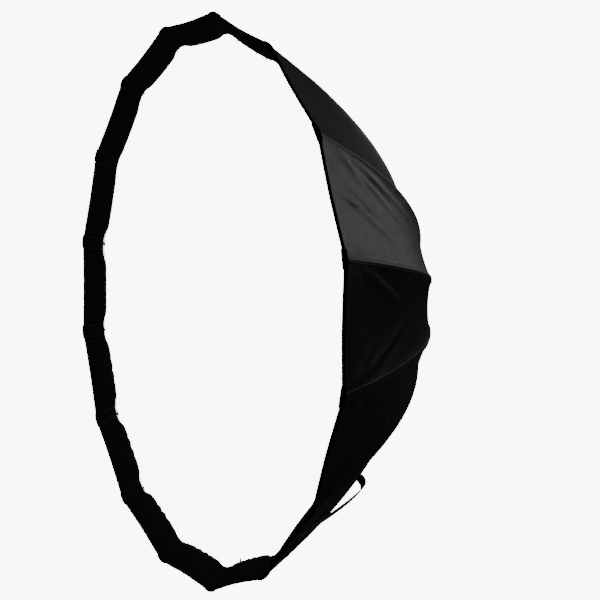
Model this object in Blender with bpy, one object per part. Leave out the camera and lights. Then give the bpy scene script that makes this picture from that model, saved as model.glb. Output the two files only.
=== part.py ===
"""Folding sixteen-rib softbox: mounting ring, hub, rib-and-stretcher fold, latches and sewn covers.

The axis lies along Y and the open face looks along -Y. The origin is the centre of the flat rear face
of the mounting ring. "Forward" is the distance along -Y from that face. Units are metres.
"""
import math

import bmesh
import bpy
from mathutils import Matrix, Vector

# Driving dimensions of the cover
RIB_COUNT = 16
RIM_RADIUS = 0.425
BOWL_START_RADIUS = 0.065
BOWL_START = 0.022
BOWL_DEPTH = 0.361
FABRIC = 0.0012
OPENING_RADIUS = 0.086
LIP_INNER_RADIUS = 0.3975
LIP_SET_BACK = 0.0295
LIP_CLEAR = (0.0022, 0.0009)
LIP_THICK = (0.0009, -0.0012)
LIP_THICK_AT_RIM = (-0.0012, -0.0019)
BAFFLE_RADIUS = 0.200
BAFFLE_FORWARD = 0.210
SHEET = 0.001
SHEET_OVERLAP = 0.0008
SHEET_BEHIND_LIP = 0.0019
INNER_STRAP_HALF = 0.006
COLLAR = (0.079, 0.083)
COLLAR_FORWARD = (0.021, 0.0232)

# Driving dimensions of the webbing loop
STRAP_FIRST = 0.975
STRAP_LAST = 0.755
STRAP_RISE = 0.013
STRAP_THICK = 0.0016
STRAP_HALF_WIDTH = 0.0085
STRAP_CLEAR = 0.0008
STRAP_LEAVES = 0.1
STRAP_PEAK = 0.9

# Driving dimensions of the frame
HINGE_RADIUS = 0.062
RIB_OFFSET = 0.0062
RIB_RADIUS = 0.0023
RIB_END = 0.955
PIVOT_AT = 0.16
HINGE_PIN_RADIUS = 0.0015
HINGE_PIN_LENGTH = 0.010
RIB_HEEL = 0.0018
RIVET_RADIUS = 0.0013
RIVET_LENGTH = 0.0064
STRETCHER_SIDE = 0.0039
STRETCHER_THICK = 0.002
STRETCHER_HALF_HEIGHT = 0.003
RUNNER_PLAY = 0.0047

# Driving dimensions of the hub
GAP = 0.0003
TUBE_RADIUS = 0.0475
SLEEVE_RADIUS = 0.050
SLEEVE_END = 0.060
HOUSING_RADIUS = 0.084
HOUSING_END = 0.0205
CROWN_RADIUS = 0.078
CROWN_END = 0.0300
RING_BACK = 0.006
SPIGOT_BACK = -0.012
CLAMP_END = 0.0342
RUNNER_RADIUS = 0.070
RUNNER_BACK = 0.041
RUNNER_CLEAR = 0.0004
CAP_THICK = 0.0029
SCREW_CIRCLE = 0.060
SCREW_COUNT = 4
OVER = 0.002

# The bayonet ring and its screws
SPIGOT_INNER = 0.045
SPIGOT_OUTER = 0.0485
RING_OUTER = 0.070
LUG_COUNT = 3
LUG_OUTER = 0.0535
LUG_FRONT = -0.008
LUG_SPREAD = math.radians(34)
HEAD_RADIUS = 0.0036
HEAD_FACE = 0.0004
HEAD_SEAT = 0.0026
SHANK_RADIUS = 0.0020
SHANK_END = 0.014
SCREW_PLAY = 0.0004

# The slots that the ribs and the stretchers swing in
RIB_SLOT_HALF = 0.0028
RIB_SLOT_BEHIND = 0.0034
RIB_SLOT_INSIDE = 0.0035
PIN_SLOT_HALF = 0.0053
CLAMP_OUTER = 0.068
CLAMP_NOTCH = 0.057
CLAMP_NOTCH_HALF = 0.0031
BAR_SLOT_HALF = 0.0015
BAR_SLOT_INSIDE = 0.0045

# The latches, each part as its outward and forward limits and its half width
LATCH_PIVOT = (0.0742, 0.024)
LEVER_ARM = ((0.0725, 0.076), (0.009, 0.0615), 0.004)
LEVER_NECK = ((0.0755, 0.0872), (0.0095, 0.0175), 0.0039)
LEVER_PAD = ((0.0862, 0.0905), (0.0075, 0.0195), 0.009)
LEVER_HOOK = ((0.0704, 0.073), (0.0585, 0.0614), 0.0039)
LATCH_SLOT = ((0.070, 0.090), (0.004, CROWN_END + OVER), 0.0046)
LATCH_PIN_RADIUS = 0.0012
LATCH_PIN_LENGTH = 0.0172
LATCH_EYE_RADIUS = 0.0015
LATCH_HOLE_RADIUS = 0.0016
LATCH_HOLE_LENGTH = 0.0184
SPRING_LENGTH = 0.0096
SPRING_RADIUS = 0.0021
SPRING_WIRE = 0.0004
SPRING_TURNS = 4
SPRING_START = (0.0625, 0.0125)
SPRING_POCKET_RADIUS = 0.0032
SPRING_POCKET = (0.068, 0.0125, 0.012)
LATCH_ANGLES = (("right", 0.0), ("left", math.pi))

ROUND = 48
RIB_STEP = 2 * math.pi / RIB_COUNT
FIRST_RIB = RIB_STEP / 2
HINGE_FORWARD = BOWL_START + RIB_OFFSET
STRAP_ANGLE = math.radians(315)


def clear_scene():
    """Remove every object that the file opened with."""
    for item in list(bpy.data.objects):
        bpy.data.objects.remove(item, do_unlink=True)


def finish(name, colour, roughness, metallic=0.0):
    """A plain Principled material."""
    material = bpy.data.materials.new(name)
    material.use_nodes = True
    shader = material.node_tree.nodes["Principled BSDF"]
    shader.inputs["Base Color"].default_value = (*colour, 1.0)
    shader.inputs["Roughness"].default_value = roughness
    shader.inputs["Metallic"].default_value = metallic
    return material


def bowl(share):
    """Radius and forward distance of the cover's outer corner line, from 0 at the hub to 1 at the rim."""
    return Vector((
        BOWL_START_RADIUS + (RIM_RADIUS - BOWL_START_RADIUS) * share,
        BOWL_START + BOWL_DEPTH * share * share,
    ))


def inside_bowl(share, offset):
    """The corner line moved into the bowl along its normal."""
    along = Vector((RIM_RADIUS - BOWL_START_RADIUS, 2 * BOWL_DEPTH * share)).normalized()
    return bowl(share) + offset * Vector((-along.y, along.x))


def mesh_from(shape, smooth_angle=35.0):
    """Turn a bmesh into a mesh with outward faces, smooth except at sharp edges."""
    bmesh.ops.remove_doubles(shape, verts=shape.verts, dist=1e-6)
    bmesh.ops.recalc_face_normals(shape, faces=shape.faces)
    mesh = bpy.data.meshes.new("shape")
    shape.to_mesh(mesh)
    shape.free()
    mesh.shade_smooth()
    mesh.set_sharp_from_angle(angle=math.radians(smooth_angle))
    return mesh


def turned(section, steps=ROUND, start=0.0, sweep=2 * math.pi):
    """Turn a closed section of (radius, forward) points about the main axis."""
    shape = bmesh.new()
    ring = [shape.verts.new((radius, -forward, 0.0)) for radius, forward in section]
    outline = shape.faces.new(ring)
    bmesh.ops.rotate(shape, verts=ring, cent=(0, 0, 0), matrix=Matrix.Rotation(-start, 3, "Y"))
    full = abs(sweep - 2 * math.pi) < 1e-6
    if full:
        edges = list(outline.edges)
        bmesh.ops.delete(shape, geom=[outline], context="FACES_ONLY")
        source = ring + edges
    else:
        source = [outline, *ring, *outline.edges]
    bmesh.ops.spin(
        shape, geom=source, cent=(0, 0, 0), axis=(0, 1, 0), angle=-sweep,
        steps=steps, use_merge=full, use_duplicate=False,
    )
    return shape


def band(inner, outer, back, front, steps=ROUND):
    """A plain ring of rectangular section."""
    return turned([(inner, back), (outer, back), (outer, front), (inner, front)], steps)


def block(radial, forward, side, angle=0.0):
    """A box given by its (low, high) limits outward, forward and sideways, turned about the axis."""
    shape = bmesh.new()
    size = [abs(high - low) for low, high in (radial, forward, side)]
    middle = Vector((sum(radial) / 2, -sum(forward) / 2, sum(side) / 2))
    bmesh.ops.create_cube(shape, size=1.0)
    bmesh.ops.scale(shape, vec=size, verts=shape.verts)
    bmesh.ops.translate(shape, vec=middle, verts=shape.verts)
    bmesh.ops.rotate(shape, verts=shape.verts, cent=(0, 0, 0), matrix=Matrix.Rotation(-angle, 3, "Y"))
    return shape


def part_block(limits, origin=(0.0, 0.0), angle=0.0):
    """A box from its outward limits, forward limits and half width, measured from an origin."""
    radial, forward, half = limits
    return block(
        (radial[0] - origin[0], radial[1] - origin[0]), (forward[0] - origin[1], forward[1] - origin[1]),
        (-half, half), angle)


def rod(radius, length, centre, axis, sides=8, angle=0.0):
    """A cylinder about a (radial, forward, side) centre along a local axis."""
    shape = bmesh.new()
    bmesh.ops.create_cone(
        shape, cap_ends=True, segments=sides, radius1=radius, radius2=radius, depth=length,
    )
    turn = Vector((0, 0, 1)).rotation_difference(Vector(axis)).to_matrix()
    bmesh.ops.rotate(shape, verts=shape.verts, cent=(0, 0, 0), matrix=turn)
    radial, forward, side = centre
    bmesh.ops.translate(shape, vec=(radial, -forward, side), verts=shape.verts)
    bmesh.ops.rotate(shape, verts=shape.verts, cent=(0, 0, 0), matrix=Matrix.Rotation(-angle, 3, "Y"))
    return shape


def gather(shapes):
    """Put shapes that don't touch each other into one bmesh."""
    whole = bmesh.new()
    for shape in shapes:
        part = bpy.data.meshes.new("part")
        shape.to_mesh(part)
        shape.free()
        whole.from_mesh(part)
        bpy.data.meshes.remove(part)
    return whole


def combine(base, steps):
    """Cut shapes from, or join them to, a base shape, one after another, as (operation, shape)."""
    target = bpy.data.objects.new("target", mesh_from(base))
    bpy.context.scene.collection.objects.link(target)
    tools = []
    for operation, shape in steps:
        tool = bpy.data.objects.new("tool", mesh_from(shape))
        bpy.context.scene.collection.objects.link(tool)
        tools.append(tool)
        modifier = target.modifiers.new("combine", "BOOLEAN")
        modifier.operation = operation
        modifier.solver = "EXACT"
        modifier.object = tool
    graph = bpy.context.evaluated_depsgraph_get()
    mesh = bpy.data.meshes.new_from_object(target.evaluated_get(graph))
    for item in [target, *tools]:
        bpy.data.objects.remove(item, do_unlink=True)
    shape = bmesh.new()
    shape.from_mesh(mesh)
    bmesh.ops.dissolve_degenerate(shape, dist=1e-7, edges=shape.edges)
    return mesh_from(shape)


def place(name, mesh, material, at=(0.0, 0.0), angle=0.0):
    """Add a named object at a (radius, forward) place, turned about the main axis."""
    if not mesh.materials:
        mesh.materials.append(material)
    item = bpy.data.objects.new(name, mesh)
    radius, forward = at
    item.location = (radius * math.cos(angle), -forward, radius * math.sin(angle))
    item.rotation_euler = (0.0, -angle, 0.0)
    bpy.context.scene.collection.objects.link(item)
    return item


def swept(points, radius, sides=6):
    """A round rod through (radial, forward) points that lie in one plane."""
    shape = bmesh.new()
    line = [Vector((radial, -forward, 0.0)) for radial, forward in points]
    rings = []
    for index, point in enumerate(line):
        ahead = line[min(index + 1, len(line) - 1)]
        behind = line[max(index - 1, 0)]
        along = (ahead - behind).normalized()
        across = Vector((-along.y, along.x, 0.0))
        turns = [2 * math.pi * side / sides for side in range(sides)]
        ring = [
            shape.verts.new(point + radius * (math.cos(turn) * across + math.sin(turn) * Vector((0, 0, 1))))
            for turn in turns
        ]
        rings.append(ring)
    for first, second in zip(rings, rings[1:]):
        for side in range(sides):
            after = (side + 1) % sides
            shape.faces.new((first[side], first[after], second[after], second[side]))
    shape.faces.new(rings[0])
    shape.faces.new(rings[-1])
    return shape


def extruded(outline, low, high):
    """A flat plate from a closed (radial, forward) outline, between two sideways limits."""
    shape = bmesh.new()
    face = shape.faces.new([shape.verts.new((radial, -forward, low)) for radial, forward in outline])
    grown = bmesh.ops.extrude_face_region(shape, geom=[face])
    moved = [item for item in grown["geom"] if isinstance(item, bmesh.types.BMVert)]
    bmesh.ops.translate(shape, vec=(0, 0, high - low), verts=moved)
    return shape


def linkage():
    """The fold's own geometry: hinge, pivot on the rib and rest place of the stretcher's inner end."""
    hinge = Vector((HINGE_RADIUS, HINGE_FORWARD))
    pivot = inside_bowl(PIVOT_AT, RIB_OFFSET)
    inner = Vector((HINGE_RADIUS, 2 * pivot.y - hinge.y))
    return hinge, pivot, inner


def make_ribs(steel):
    """Sixteen curved ribs, each with its hinge pin and the rivet that carries its stretcher."""
    hinge, pivot, _ = linkage()
    bends = 10
    shares = [RIB_END * (index / bends) for index in range(bends + 1)]
    points = [Vector((-RIB_HEEL, 0.0))] + [inside_bowl(share, RIB_OFFSET) - hinge for share in shares]
    arm = pivot - hinge
    pin = rod(HINGE_PIN_RADIUS, HINGE_PIN_LENGTH, (0, 0, 0), (0, 0, 1))
    rivet = rod(RIVET_RADIUS, RIVET_LENGTH, (arm.x, arm.y, RIVET_LENGTH / 2), (0, 0, 1))
    mesh = combine(swept(points, RIB_RADIUS), [("UNION", pin), ("UNION", rivet)])
    for index in range(RIB_COUNT):
        angle = FIRST_RIB + index * RIB_STEP
        place(f"rib_{index + 1:02d}", mesh, steel, hinge, angle)


def make_stretchers(steel):
    """Sixteen flat stretchers from the ribs' rivets to the runner, each with an inner cross pin."""
    _, pivot, inner = linkage()
    reach = inner - pivot
    along = reach.normalized()
    across = Vector((-along.y, along.x))
    turns = [math.pi * step / 5 for step in range(6)]
    outline = []
    for turn in turns:
        outline.append(STRETCHER_HALF_HEIGHT * (math.cos(turn) * across - math.sin(turn) * along))
    for turn in turns:
        outline.append(reach - STRETCHER_HALF_HEIGHT * (math.cos(turn) * across - math.sin(turn) * along))
    low = STRETCHER_SIDE - STRETCHER_THICK / 2
    high = STRETCHER_SIDE + STRETCHER_THICK / 2
    pin = rod(HINGE_PIN_RADIUS, HINGE_PIN_LENGTH, (reach.x, reach.y, STRETCHER_SIDE), (0, 0, 1))
    eye = rod(RIVET_RADIUS + GAP, HINGE_PIN_LENGTH, (0, 0, STRETCHER_SIDE), (0, 0, 1))
    mesh = combine(extruded(outline, low, high), [("UNION", pin), ("DIFFERENCE", eye)])
    for index in range(RIB_COUNT):
        angle = FIRST_RIB + index * RIB_STEP
        place(f"stretcher_{index + 1:02d}", mesh, steel, pivot, angle)


def at_every_rib(build):
    """One shape made at every rib's angle."""
    return gather([build(FIRST_RIB + index * RIB_STEP) for index in range(RIB_COUNT)])


def screw_angles():
    """The angles of the screws that hold the mounting ring."""
    return [math.pi / 4 + index * 2 * math.pi / SCREW_COUNT for index in range(SCREW_COUNT)]


def make_mount(alloy, steel):
    """The bayonet ring that the light takes, and its four screws."""
    section = [
        (SPIGOT_INNER, SPIGOT_BACK), (SPIGOT_OUTER, SPIGOT_BACK), (SPIGOT_OUTER, 0.0),
        (RING_OUTER, 0.0), (RING_OUTER, RING_BACK), (SPIGOT_INNER, RING_BACK),
    ]
    root = SPIGOT_OUTER - 0.001
    back = SPIGOT_BACK + GAP
    lug = [(root, back), (LUG_OUTER, back), (LUG_OUTER, LUG_FRONT), (root, LUG_FRONT)]
    starts = [math.pi / 2 + index * 2 * math.pi / LUG_COUNT - LUG_SPREAD / 2 for index in range(LUG_COUNT)]
    lugs = gather([turned(lug, 5, start, LUG_SPREAD) for start in starts])
    place_at = (SCREW_CIRCLE, 0.0, 0)
    sunk = 2 * (HEAD_SEAT + SCREW_PLAY)
    turns = screw_angles()
    heads = gather([rod(HEAD_RADIUS + SCREW_PLAY, sunk, place_at, (0, 1, 0), 16, a) for a in turns])
    shanks = gather([rod(SHANK_RADIUS + SCREW_PLAY, 0.02, place_at, (0, 1, 0), 12, a) for a in turns])
    steps = [("UNION", lugs), ("DIFFERENCE", heads), ("DIFFERENCE", shanks)]
    place("mount_ring", combine(turned(section), steps), alloy)
    profile = [
        (0.0, HEAD_FACE), (HEAD_RADIUS, HEAD_FACE), (HEAD_RADIUS, HEAD_SEAT),
        (SHANK_RADIUS, HEAD_SEAT), (SHANK_RADIUS, SHANK_END), (0.0, SHANK_END),
    ]
    screw = mesh_from(turned(profile, 12))
    for index, angle in enumerate(screw_angles()):
        place(f"mount_screw_{index + 1}", screw, steel, (SCREW_CIRCLE, 0.0), angle)


def make_hub(plastic):
    """The hub with its rib slots, hinge sockets, latch slots and guide sleeve, and the clamping ring."""
    section = [
        (TUBE_RADIUS, RING_BACK + GAP), (HOUSING_RADIUS, RING_BACK + GAP), (HOUSING_RADIUS, HOUSING_END),
        (CROWN_RADIUS, HOUSING_END), (CROWN_RADIUS, CROWN_END), (SLEEVE_RADIUS, CROWN_END),
        (SLEEVE_RADIUS, SLEEVE_END), (TUBE_RADIUS, SLEEVE_END),
    ]
    socket = HINGE_PIN_RADIUS + GAP
    top = CROWN_END + OVER
    slots = at_every_rib(lambda a: block(
        (HINGE_RADIUS - RIB_SLOT_INSIDE, CROWN_RADIUS + OVER), (HINGE_FORWARD - RIB_SLOT_BEHIND, top),
        (-RIB_SLOT_HALF, RIB_SLOT_HALF), a))
    sockets = at_every_rib(lambda a: block(
        (HINGE_RADIUS - socket, HINGE_RADIUS + socket), (HINGE_FORWARD - socket, top),
        (-PIN_SLOT_HALF, PIN_SLOT_HALF), a))
    turns = [angle for _, angle in LATCH_ANGLES]
    latch_slots = gather([part_block(LATCH_SLOT, angle=a) for a in turns])
    pin_holes = gather([
        rod(LATCH_HOLE_RADIUS, LATCH_HOLE_LENGTH, (*LATCH_PIVOT, 0), (0, 0, 1), 12, a) for a in turns
    ])
    radial, forward, length = SPRING_POCKET
    spring_pockets = gather([
        rod(SPRING_POCKET_RADIUS, length, (radial, forward, 0), (1, 0, 0), 12, a) for a in turns
    ])
    threads = gather([
        rod(SHANK_RADIUS + SCREW_PLAY, 0.020, (SCREW_CIRCLE, RING_BACK, 0), (0, 1, 0), 12, a)
        for a in screw_angles()
    ])
    cuts = [slots, sockets, latch_slots, pin_holes, spring_pockets, threads]
    place("hub_body", combine(turned(section), [("DIFFERENCE", cut) for cut in cuts]), plastic)
    notches = at_every_rib(lambda a: block(
        (CLAMP_NOTCH, CLAMP_OUTER + OVER), (CROWN_END - OVER, CLAMP_END + OVER),
        (-CLAMP_NOTCH_HALF, CLAMP_NOTCH_HALF), a))
    clamp = band(SLEEVE_RADIUS + GAP, CLAMP_OUTER, CROWN_END + GAP, CLAMP_END)
    place("hub_clamp_ring", combine(clamp, [("DIFFERENCE", notches)]), plastic)


def make_runner(plastic):
    """The sliding runner: bar slots open to the rear, pin pockets open to the front, and their cap."""
    _, _, inner = linkage()
    front = inner.y + STRETCHER_HALF_HEIGHT + RUNNER_PLAY + GAP
    socket = HINGE_PIN_RADIUS + GAP
    bar_side = (STRETCHER_SIDE - BAR_SLOT_HALF, STRETCHER_SIDE + BAR_SLOT_HALF)
    pin_side = (STRETCHER_SIDE - PIN_SLOT_HALF, STRETCHER_SIDE + PIN_SLOT_HALF)
    bars = at_every_rib(lambda a: block(
        (HINGE_RADIUS - BAR_SLOT_INSIDE, RUNNER_RADIUS + OVER), (RUNNER_BACK - OVER, front + OVER),
        bar_side, a))
    pins = at_every_rib(lambda a: block(
        (HINGE_RADIUS - socket, HINGE_RADIUS + socket), (inner.y - socket, front + OVER), pin_side, a))
    ring = band(SLEEVE_RADIUS + RUNNER_CLEAR, RUNNER_RADIUS, RUNNER_BACK, front)
    place("runner_ring", combine(ring, [("DIFFERENCE", bars), ("DIFFERENCE", pins)]), plastic)
    cap = band(SLEEVE_RADIUS + 0.001, RUNNER_RADIUS - 0.0005, front + GAP, front + GAP + CAP_THICK)
    place("runner_cap", mesh_from(cap), plastic)


def coil(length, radius, wire, turns, start):
    """A compression spring along the radial direction, from a (radial, forward) start."""
    shape = bmesh.new()
    around = 10
    sides = 5
    rings = []
    for index in range(turns * around + 1):
        share = index / (turns * around)
        turn = 2 * math.pi * turns * share
        out = Vector((0.0, math.cos(turn), math.sin(turn)))
        centre = Vector((start[0] + wire + (length - 2 * wire) * share, -start[1], 0.0)) + radius * out
        ring = []
        for side in range(sides):
            lean = 2 * math.pi * side / sides
            offset = math.cos(lean) * out + math.sin(lean) * Vector((1, 0, 0))
            ring.append(shape.verts.new(centre + wire * offset))
        rings.append(ring)
    for first, second in zip(rings, rings[1:]):
        for side in range(sides):
            after = (side + 1) % sides
            shape.faces.new((first[side], first[after], second[after], second[side]))
    shape.faces.new(rings[0])
    shape.faces.new(rings[-1])
    return shape


def make_latches(plastic, steel):
    """Two rocking latch levers with their pivot pins and return springs, on opposite sides of the hub."""
    lever = combine(part_block(LEVER_ARM, LATCH_PIVOT), [
        ("UNION", part_block(LEVER_NECK, LATCH_PIVOT)),
        ("UNION", part_block(LEVER_PAD, LATCH_PIVOT)),
        ("UNION", part_block(LEVER_HOOK, LATCH_PIVOT)),
        ("DIFFERENCE", rod(LATCH_EYE_RADIUS, 0.02, (0, 0, 0), (0, 0, 1), 12)),
    ])
    pin = mesh_from(rod(LATCH_PIN_RADIUS, LATCH_PIN_LENGTH, (0, 0, 0), (0, 0, 1), 12))
    spring = mesh_from(coil(SPRING_LENGTH, SPRING_RADIUS, SPRING_WIRE, SPRING_TURNS, SPRING_START))
    for side, angle in LATCH_ANGLES:
        place(f"latch_lever_{side}", lever, plastic, LATCH_PIVOT, angle)
        place(f"latch_pin_{side}", pin, steel, LATCH_PIVOT, angle)
        place(f"latch_spring_{side}", spring, steel, (0.0, 0.0), angle)


def make_shell(nylon):
    """The sewn bowl of sixteen gores as one cloth wall, open at the hub and at the rim."""
    rows = 12
    first = (OPENING_RADIUS - BOWL_START_RADIUS) / (RIM_RADIUS - BOWL_START_RADIUS)
    shares = [first + (1 - first) * row / rows for row in range(rows + 1)]
    outside = [bowl(share) for share in shares]
    inside = [inside_bowl(share, FABRIC) for share in reversed(shares)]
    place("shell_fabric", mesh_from(turned(outside + inside, RIB_COUNT, FIRST_RIB)), nylon)


def make_lip(webbing):
    """The stiff sloping band around the open face."""
    rim = bowl(1.0)
    edge = Vector((LIP_INNER_RADIUS, rim.y - LIP_SET_BACK))
    back = Vector(LIP_THICK)
    front = rim - Vector(LIP_CLEAR)
    section = [front, edge, edge + back, front + Vector(LIP_THICK_AT_RIM)]
    place("lip_band", mesh_from(turned(section, RIB_COUNT, FIRST_RIB)), webbing)


def make_sheets(white):
    """The front diffuser behind the lip, and the smaller inner diffuser."""
    rim = bowl(1.0)
    front = rim.y - LIP_SET_BACK - SHEET_BEHIND_LIP
    axis = (0, 1, 0)
    outer = rod(LIP_INNER_RADIUS + SHEET_OVERLAP, SHEET, (0, front - SHEET / 2, 0), axis, RIB_COUNT, FIRST_RIB)
    place("front_diffuser", mesh_from(outer), white)
    inner = rod(BAFFLE_RADIUS, SHEET, (0, BAFFLE_FORWARD, 0), axis, RIB_COUNT, FIRST_RIB)
    place("inner_diffuser", mesh_from(inner), white)


def make_inner_straps(elastic):
    """Four elastic straps that stretch the inner diffuser between four ribs."""
    share = math.sqrt((BAFFLE_FORWARD - BOWL_START) / BOWL_DEPTH)
    reach = inside_bowl(share, RIB_OFFSET + RIB_RADIUS).x - 0.006
    thick = 0.0006
    strap = mesh_from(block(
        (BAFFLE_RADIUS + 0.0005, reach), (BAFFLE_FORWARD - thick, BAFFLE_FORWARD + thick), (-0.006, 0.006)))
    for index in range(4):
        angle = FIRST_RIB + index * 4 * RIB_STEP
        place(f"inner_strap_{index + 1}", strap, elastic, (0.0, 0.0), angle)


def make_collar(elastic):
    """The elastic hem around the hub."""
    place("rear_collar", mesh_from(band(*COLLAR, *COLLAR_FORWARD)), elastic)


def strap_height(place_share):
    """Height of the webbing loop over the cloth, from 0 at its rim end to 1 at its hub end."""
    if place_share > STRAP_PEAK:
        return STRAP_RISE * (1 - place_share) / (1 - STRAP_PEAK)
    climb = max(0.0, place_share - STRAP_LEAVES) / (STRAP_PEAK - STRAP_LEAVES)
    return STRAP_RISE * math.sin(math.pi / 2 * climb)


def make_tie_strap(webbing):
    """The webbing loop on one gore, standing off the cloth most near its hub end."""
    steps = 10
    flat = math.cos(RIB_STEP / 2)
    outer = []
    inner = []
    for index in range(steps + 1):
        place_share = index / steps
        share = STRAP_FIRST + (STRAP_LAST - STRAP_FIRST) * place_share
        lift = STRAP_CLEAR + strap_height(place_share)
        for line, height in ((inner, lift), (outer, lift + STRAP_THICK)):
            point = inside_bowl(share, -height)
            line.append(Vector((point.x * flat, point.y)))
    mesh = mesh_from(extruded(inner + list(reversed(outer)), -STRAP_HALF_WIDTH, STRAP_HALF_WIDTH))
    place("tie_strap", mesh, webbing, (0.0, 0.0), STRAP_ANGLE)


def main():
    """Build every sub-part."""
    clear_scene()
    alloy = finish("mount_alloy", (0.55, 0.56, 0.58), 0.35, 1.0)
    plastic = finish("hub_plastic", (0.02, 0.02, 0.021), 0.45)
    red = finish("latch_plastic", (0.45, 0.03, 0.03), 0.4)
    steel = finish("rib_steel", (0.5, 0.5, 0.52), 0.3, 1.0)
    nylon = finish("shell_nylon", (0.015, 0.015, 0.016), 0.55)
    webbing = finish("webbing", (0.01, 0.01, 0.01), 0.85)
    elastic = finish("elastic", (0.02, 0.02, 0.02), 0.8)
    white = finish("diffuser_cloth", (0.9, 0.9, 0.89), 0.8)
    make_ribs(steel)
    make_stretchers(steel)
    make_mount(alloy, steel)
    make_hub(plastic)
    make_runner(plastic)
    make_latches(red, steel)
    make_shell(nylon)
    make_lip(webbing)
    make_sheets(white)
    make_inner_straps(elastic)
    make_collar(elastic)
    make_tie_strap(webbing)


main()
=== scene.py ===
"""Finished look of a folding sixteen-rib softbox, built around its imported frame.

The axis lies along Y, the open face looks along -Y, and "forward" is the distance along -Y from the
mounting ring's rear face. Each soft piece rides on the part of the frame that carries it.
"""
import logging
import math
import random
from dataclasses import dataclass, field
from enum import Enum
from typing import Callable, Optional, Sequence, Union

import bmesh
import bpy
from mathutils import Matrix, Vector


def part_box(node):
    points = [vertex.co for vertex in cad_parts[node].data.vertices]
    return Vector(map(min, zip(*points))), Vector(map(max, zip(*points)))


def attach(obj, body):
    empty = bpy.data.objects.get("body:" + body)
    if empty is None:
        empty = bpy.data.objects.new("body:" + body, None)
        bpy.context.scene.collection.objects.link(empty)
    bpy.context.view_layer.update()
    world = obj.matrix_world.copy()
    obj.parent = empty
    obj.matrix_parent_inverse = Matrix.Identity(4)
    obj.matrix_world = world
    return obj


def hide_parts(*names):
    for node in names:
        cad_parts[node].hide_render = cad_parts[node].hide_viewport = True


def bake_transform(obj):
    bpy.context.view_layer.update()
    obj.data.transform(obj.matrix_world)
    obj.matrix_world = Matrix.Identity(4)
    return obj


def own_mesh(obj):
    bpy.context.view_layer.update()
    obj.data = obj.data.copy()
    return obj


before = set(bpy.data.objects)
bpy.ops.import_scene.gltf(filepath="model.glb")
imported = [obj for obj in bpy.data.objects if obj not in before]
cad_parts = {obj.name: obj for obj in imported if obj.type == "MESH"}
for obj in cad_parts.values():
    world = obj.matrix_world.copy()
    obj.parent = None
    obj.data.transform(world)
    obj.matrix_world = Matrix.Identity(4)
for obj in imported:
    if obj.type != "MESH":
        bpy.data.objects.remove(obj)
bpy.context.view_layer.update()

LOG = logging.getLogger("softbox")
Socket = bpy.types.NodeSocket
Node = bpy.types.Node
Tree = bpy.types.NodeTree
Material = bpy.types.Material
Piece = bpy.types.Object
Shape = bmesh.types.BMesh
Number = Union[float, Socket]
Sewn = tuple[Socket, Socket]
FORWARD = Vector((0.0, -1.0, 0.0))
SAME_PLACE = 1e-6
Colour = tuple[float, float, float]


def eased(value: float) -> float:
    """Return value held to 0..1 and eased at both ends."""
    value = min(max(value, 0.0), 1.0)
    return value * value * (3.0 - 2.0 * value)


# ---------------------------------------------------------------------------------------------
# Finishes
# ---------------------------------------------------------------------------------------------

STITCH_EDGE = (0.62, 0.38)
DASH_EDGE = (0.42, 0.34)
FURROW_EDGE = (3.2, 0.8)
FURROW_DEPTH = 0.7
PATCH_EDGE = (0.45, 0.8)
MARK_EDGE = (0.3, 0.7)
SPECK_SCALE = 22.0
HANDLING_SCALE = 38.0
DRIFT_SCALE = 14.0
DRIFT_RANGE = (0.35, 0.62, 0.25, 1.0)
RIDGE_WAY = ((1.0, 0.28, 1.0), 0.35)
CROSS_WAY = ((0.4, 1.0, 1.0), -0.5)
DARK_THREAD = 0.72
DARK_SHARE = 0.35
NAP_SCALE = 1400.0
WORN_GAIN = 0.16
RIB_GAIN = 0.12
CLOTH_DUST = 9.0
TAPE_DUST = 40.0
MOULDING_DUST = 26.0
METAL_DUST = 55.0
STITCH_SHOW = 0.9
CORNER_BOX = (1.1, 1.02)
GRAIN_HEIGHT = 0.00005
LINE_HEIGHT = 0.00003
RIB_HEIGHT = 0.00022
THREAD_HEIGHT = 0.0001


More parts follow.
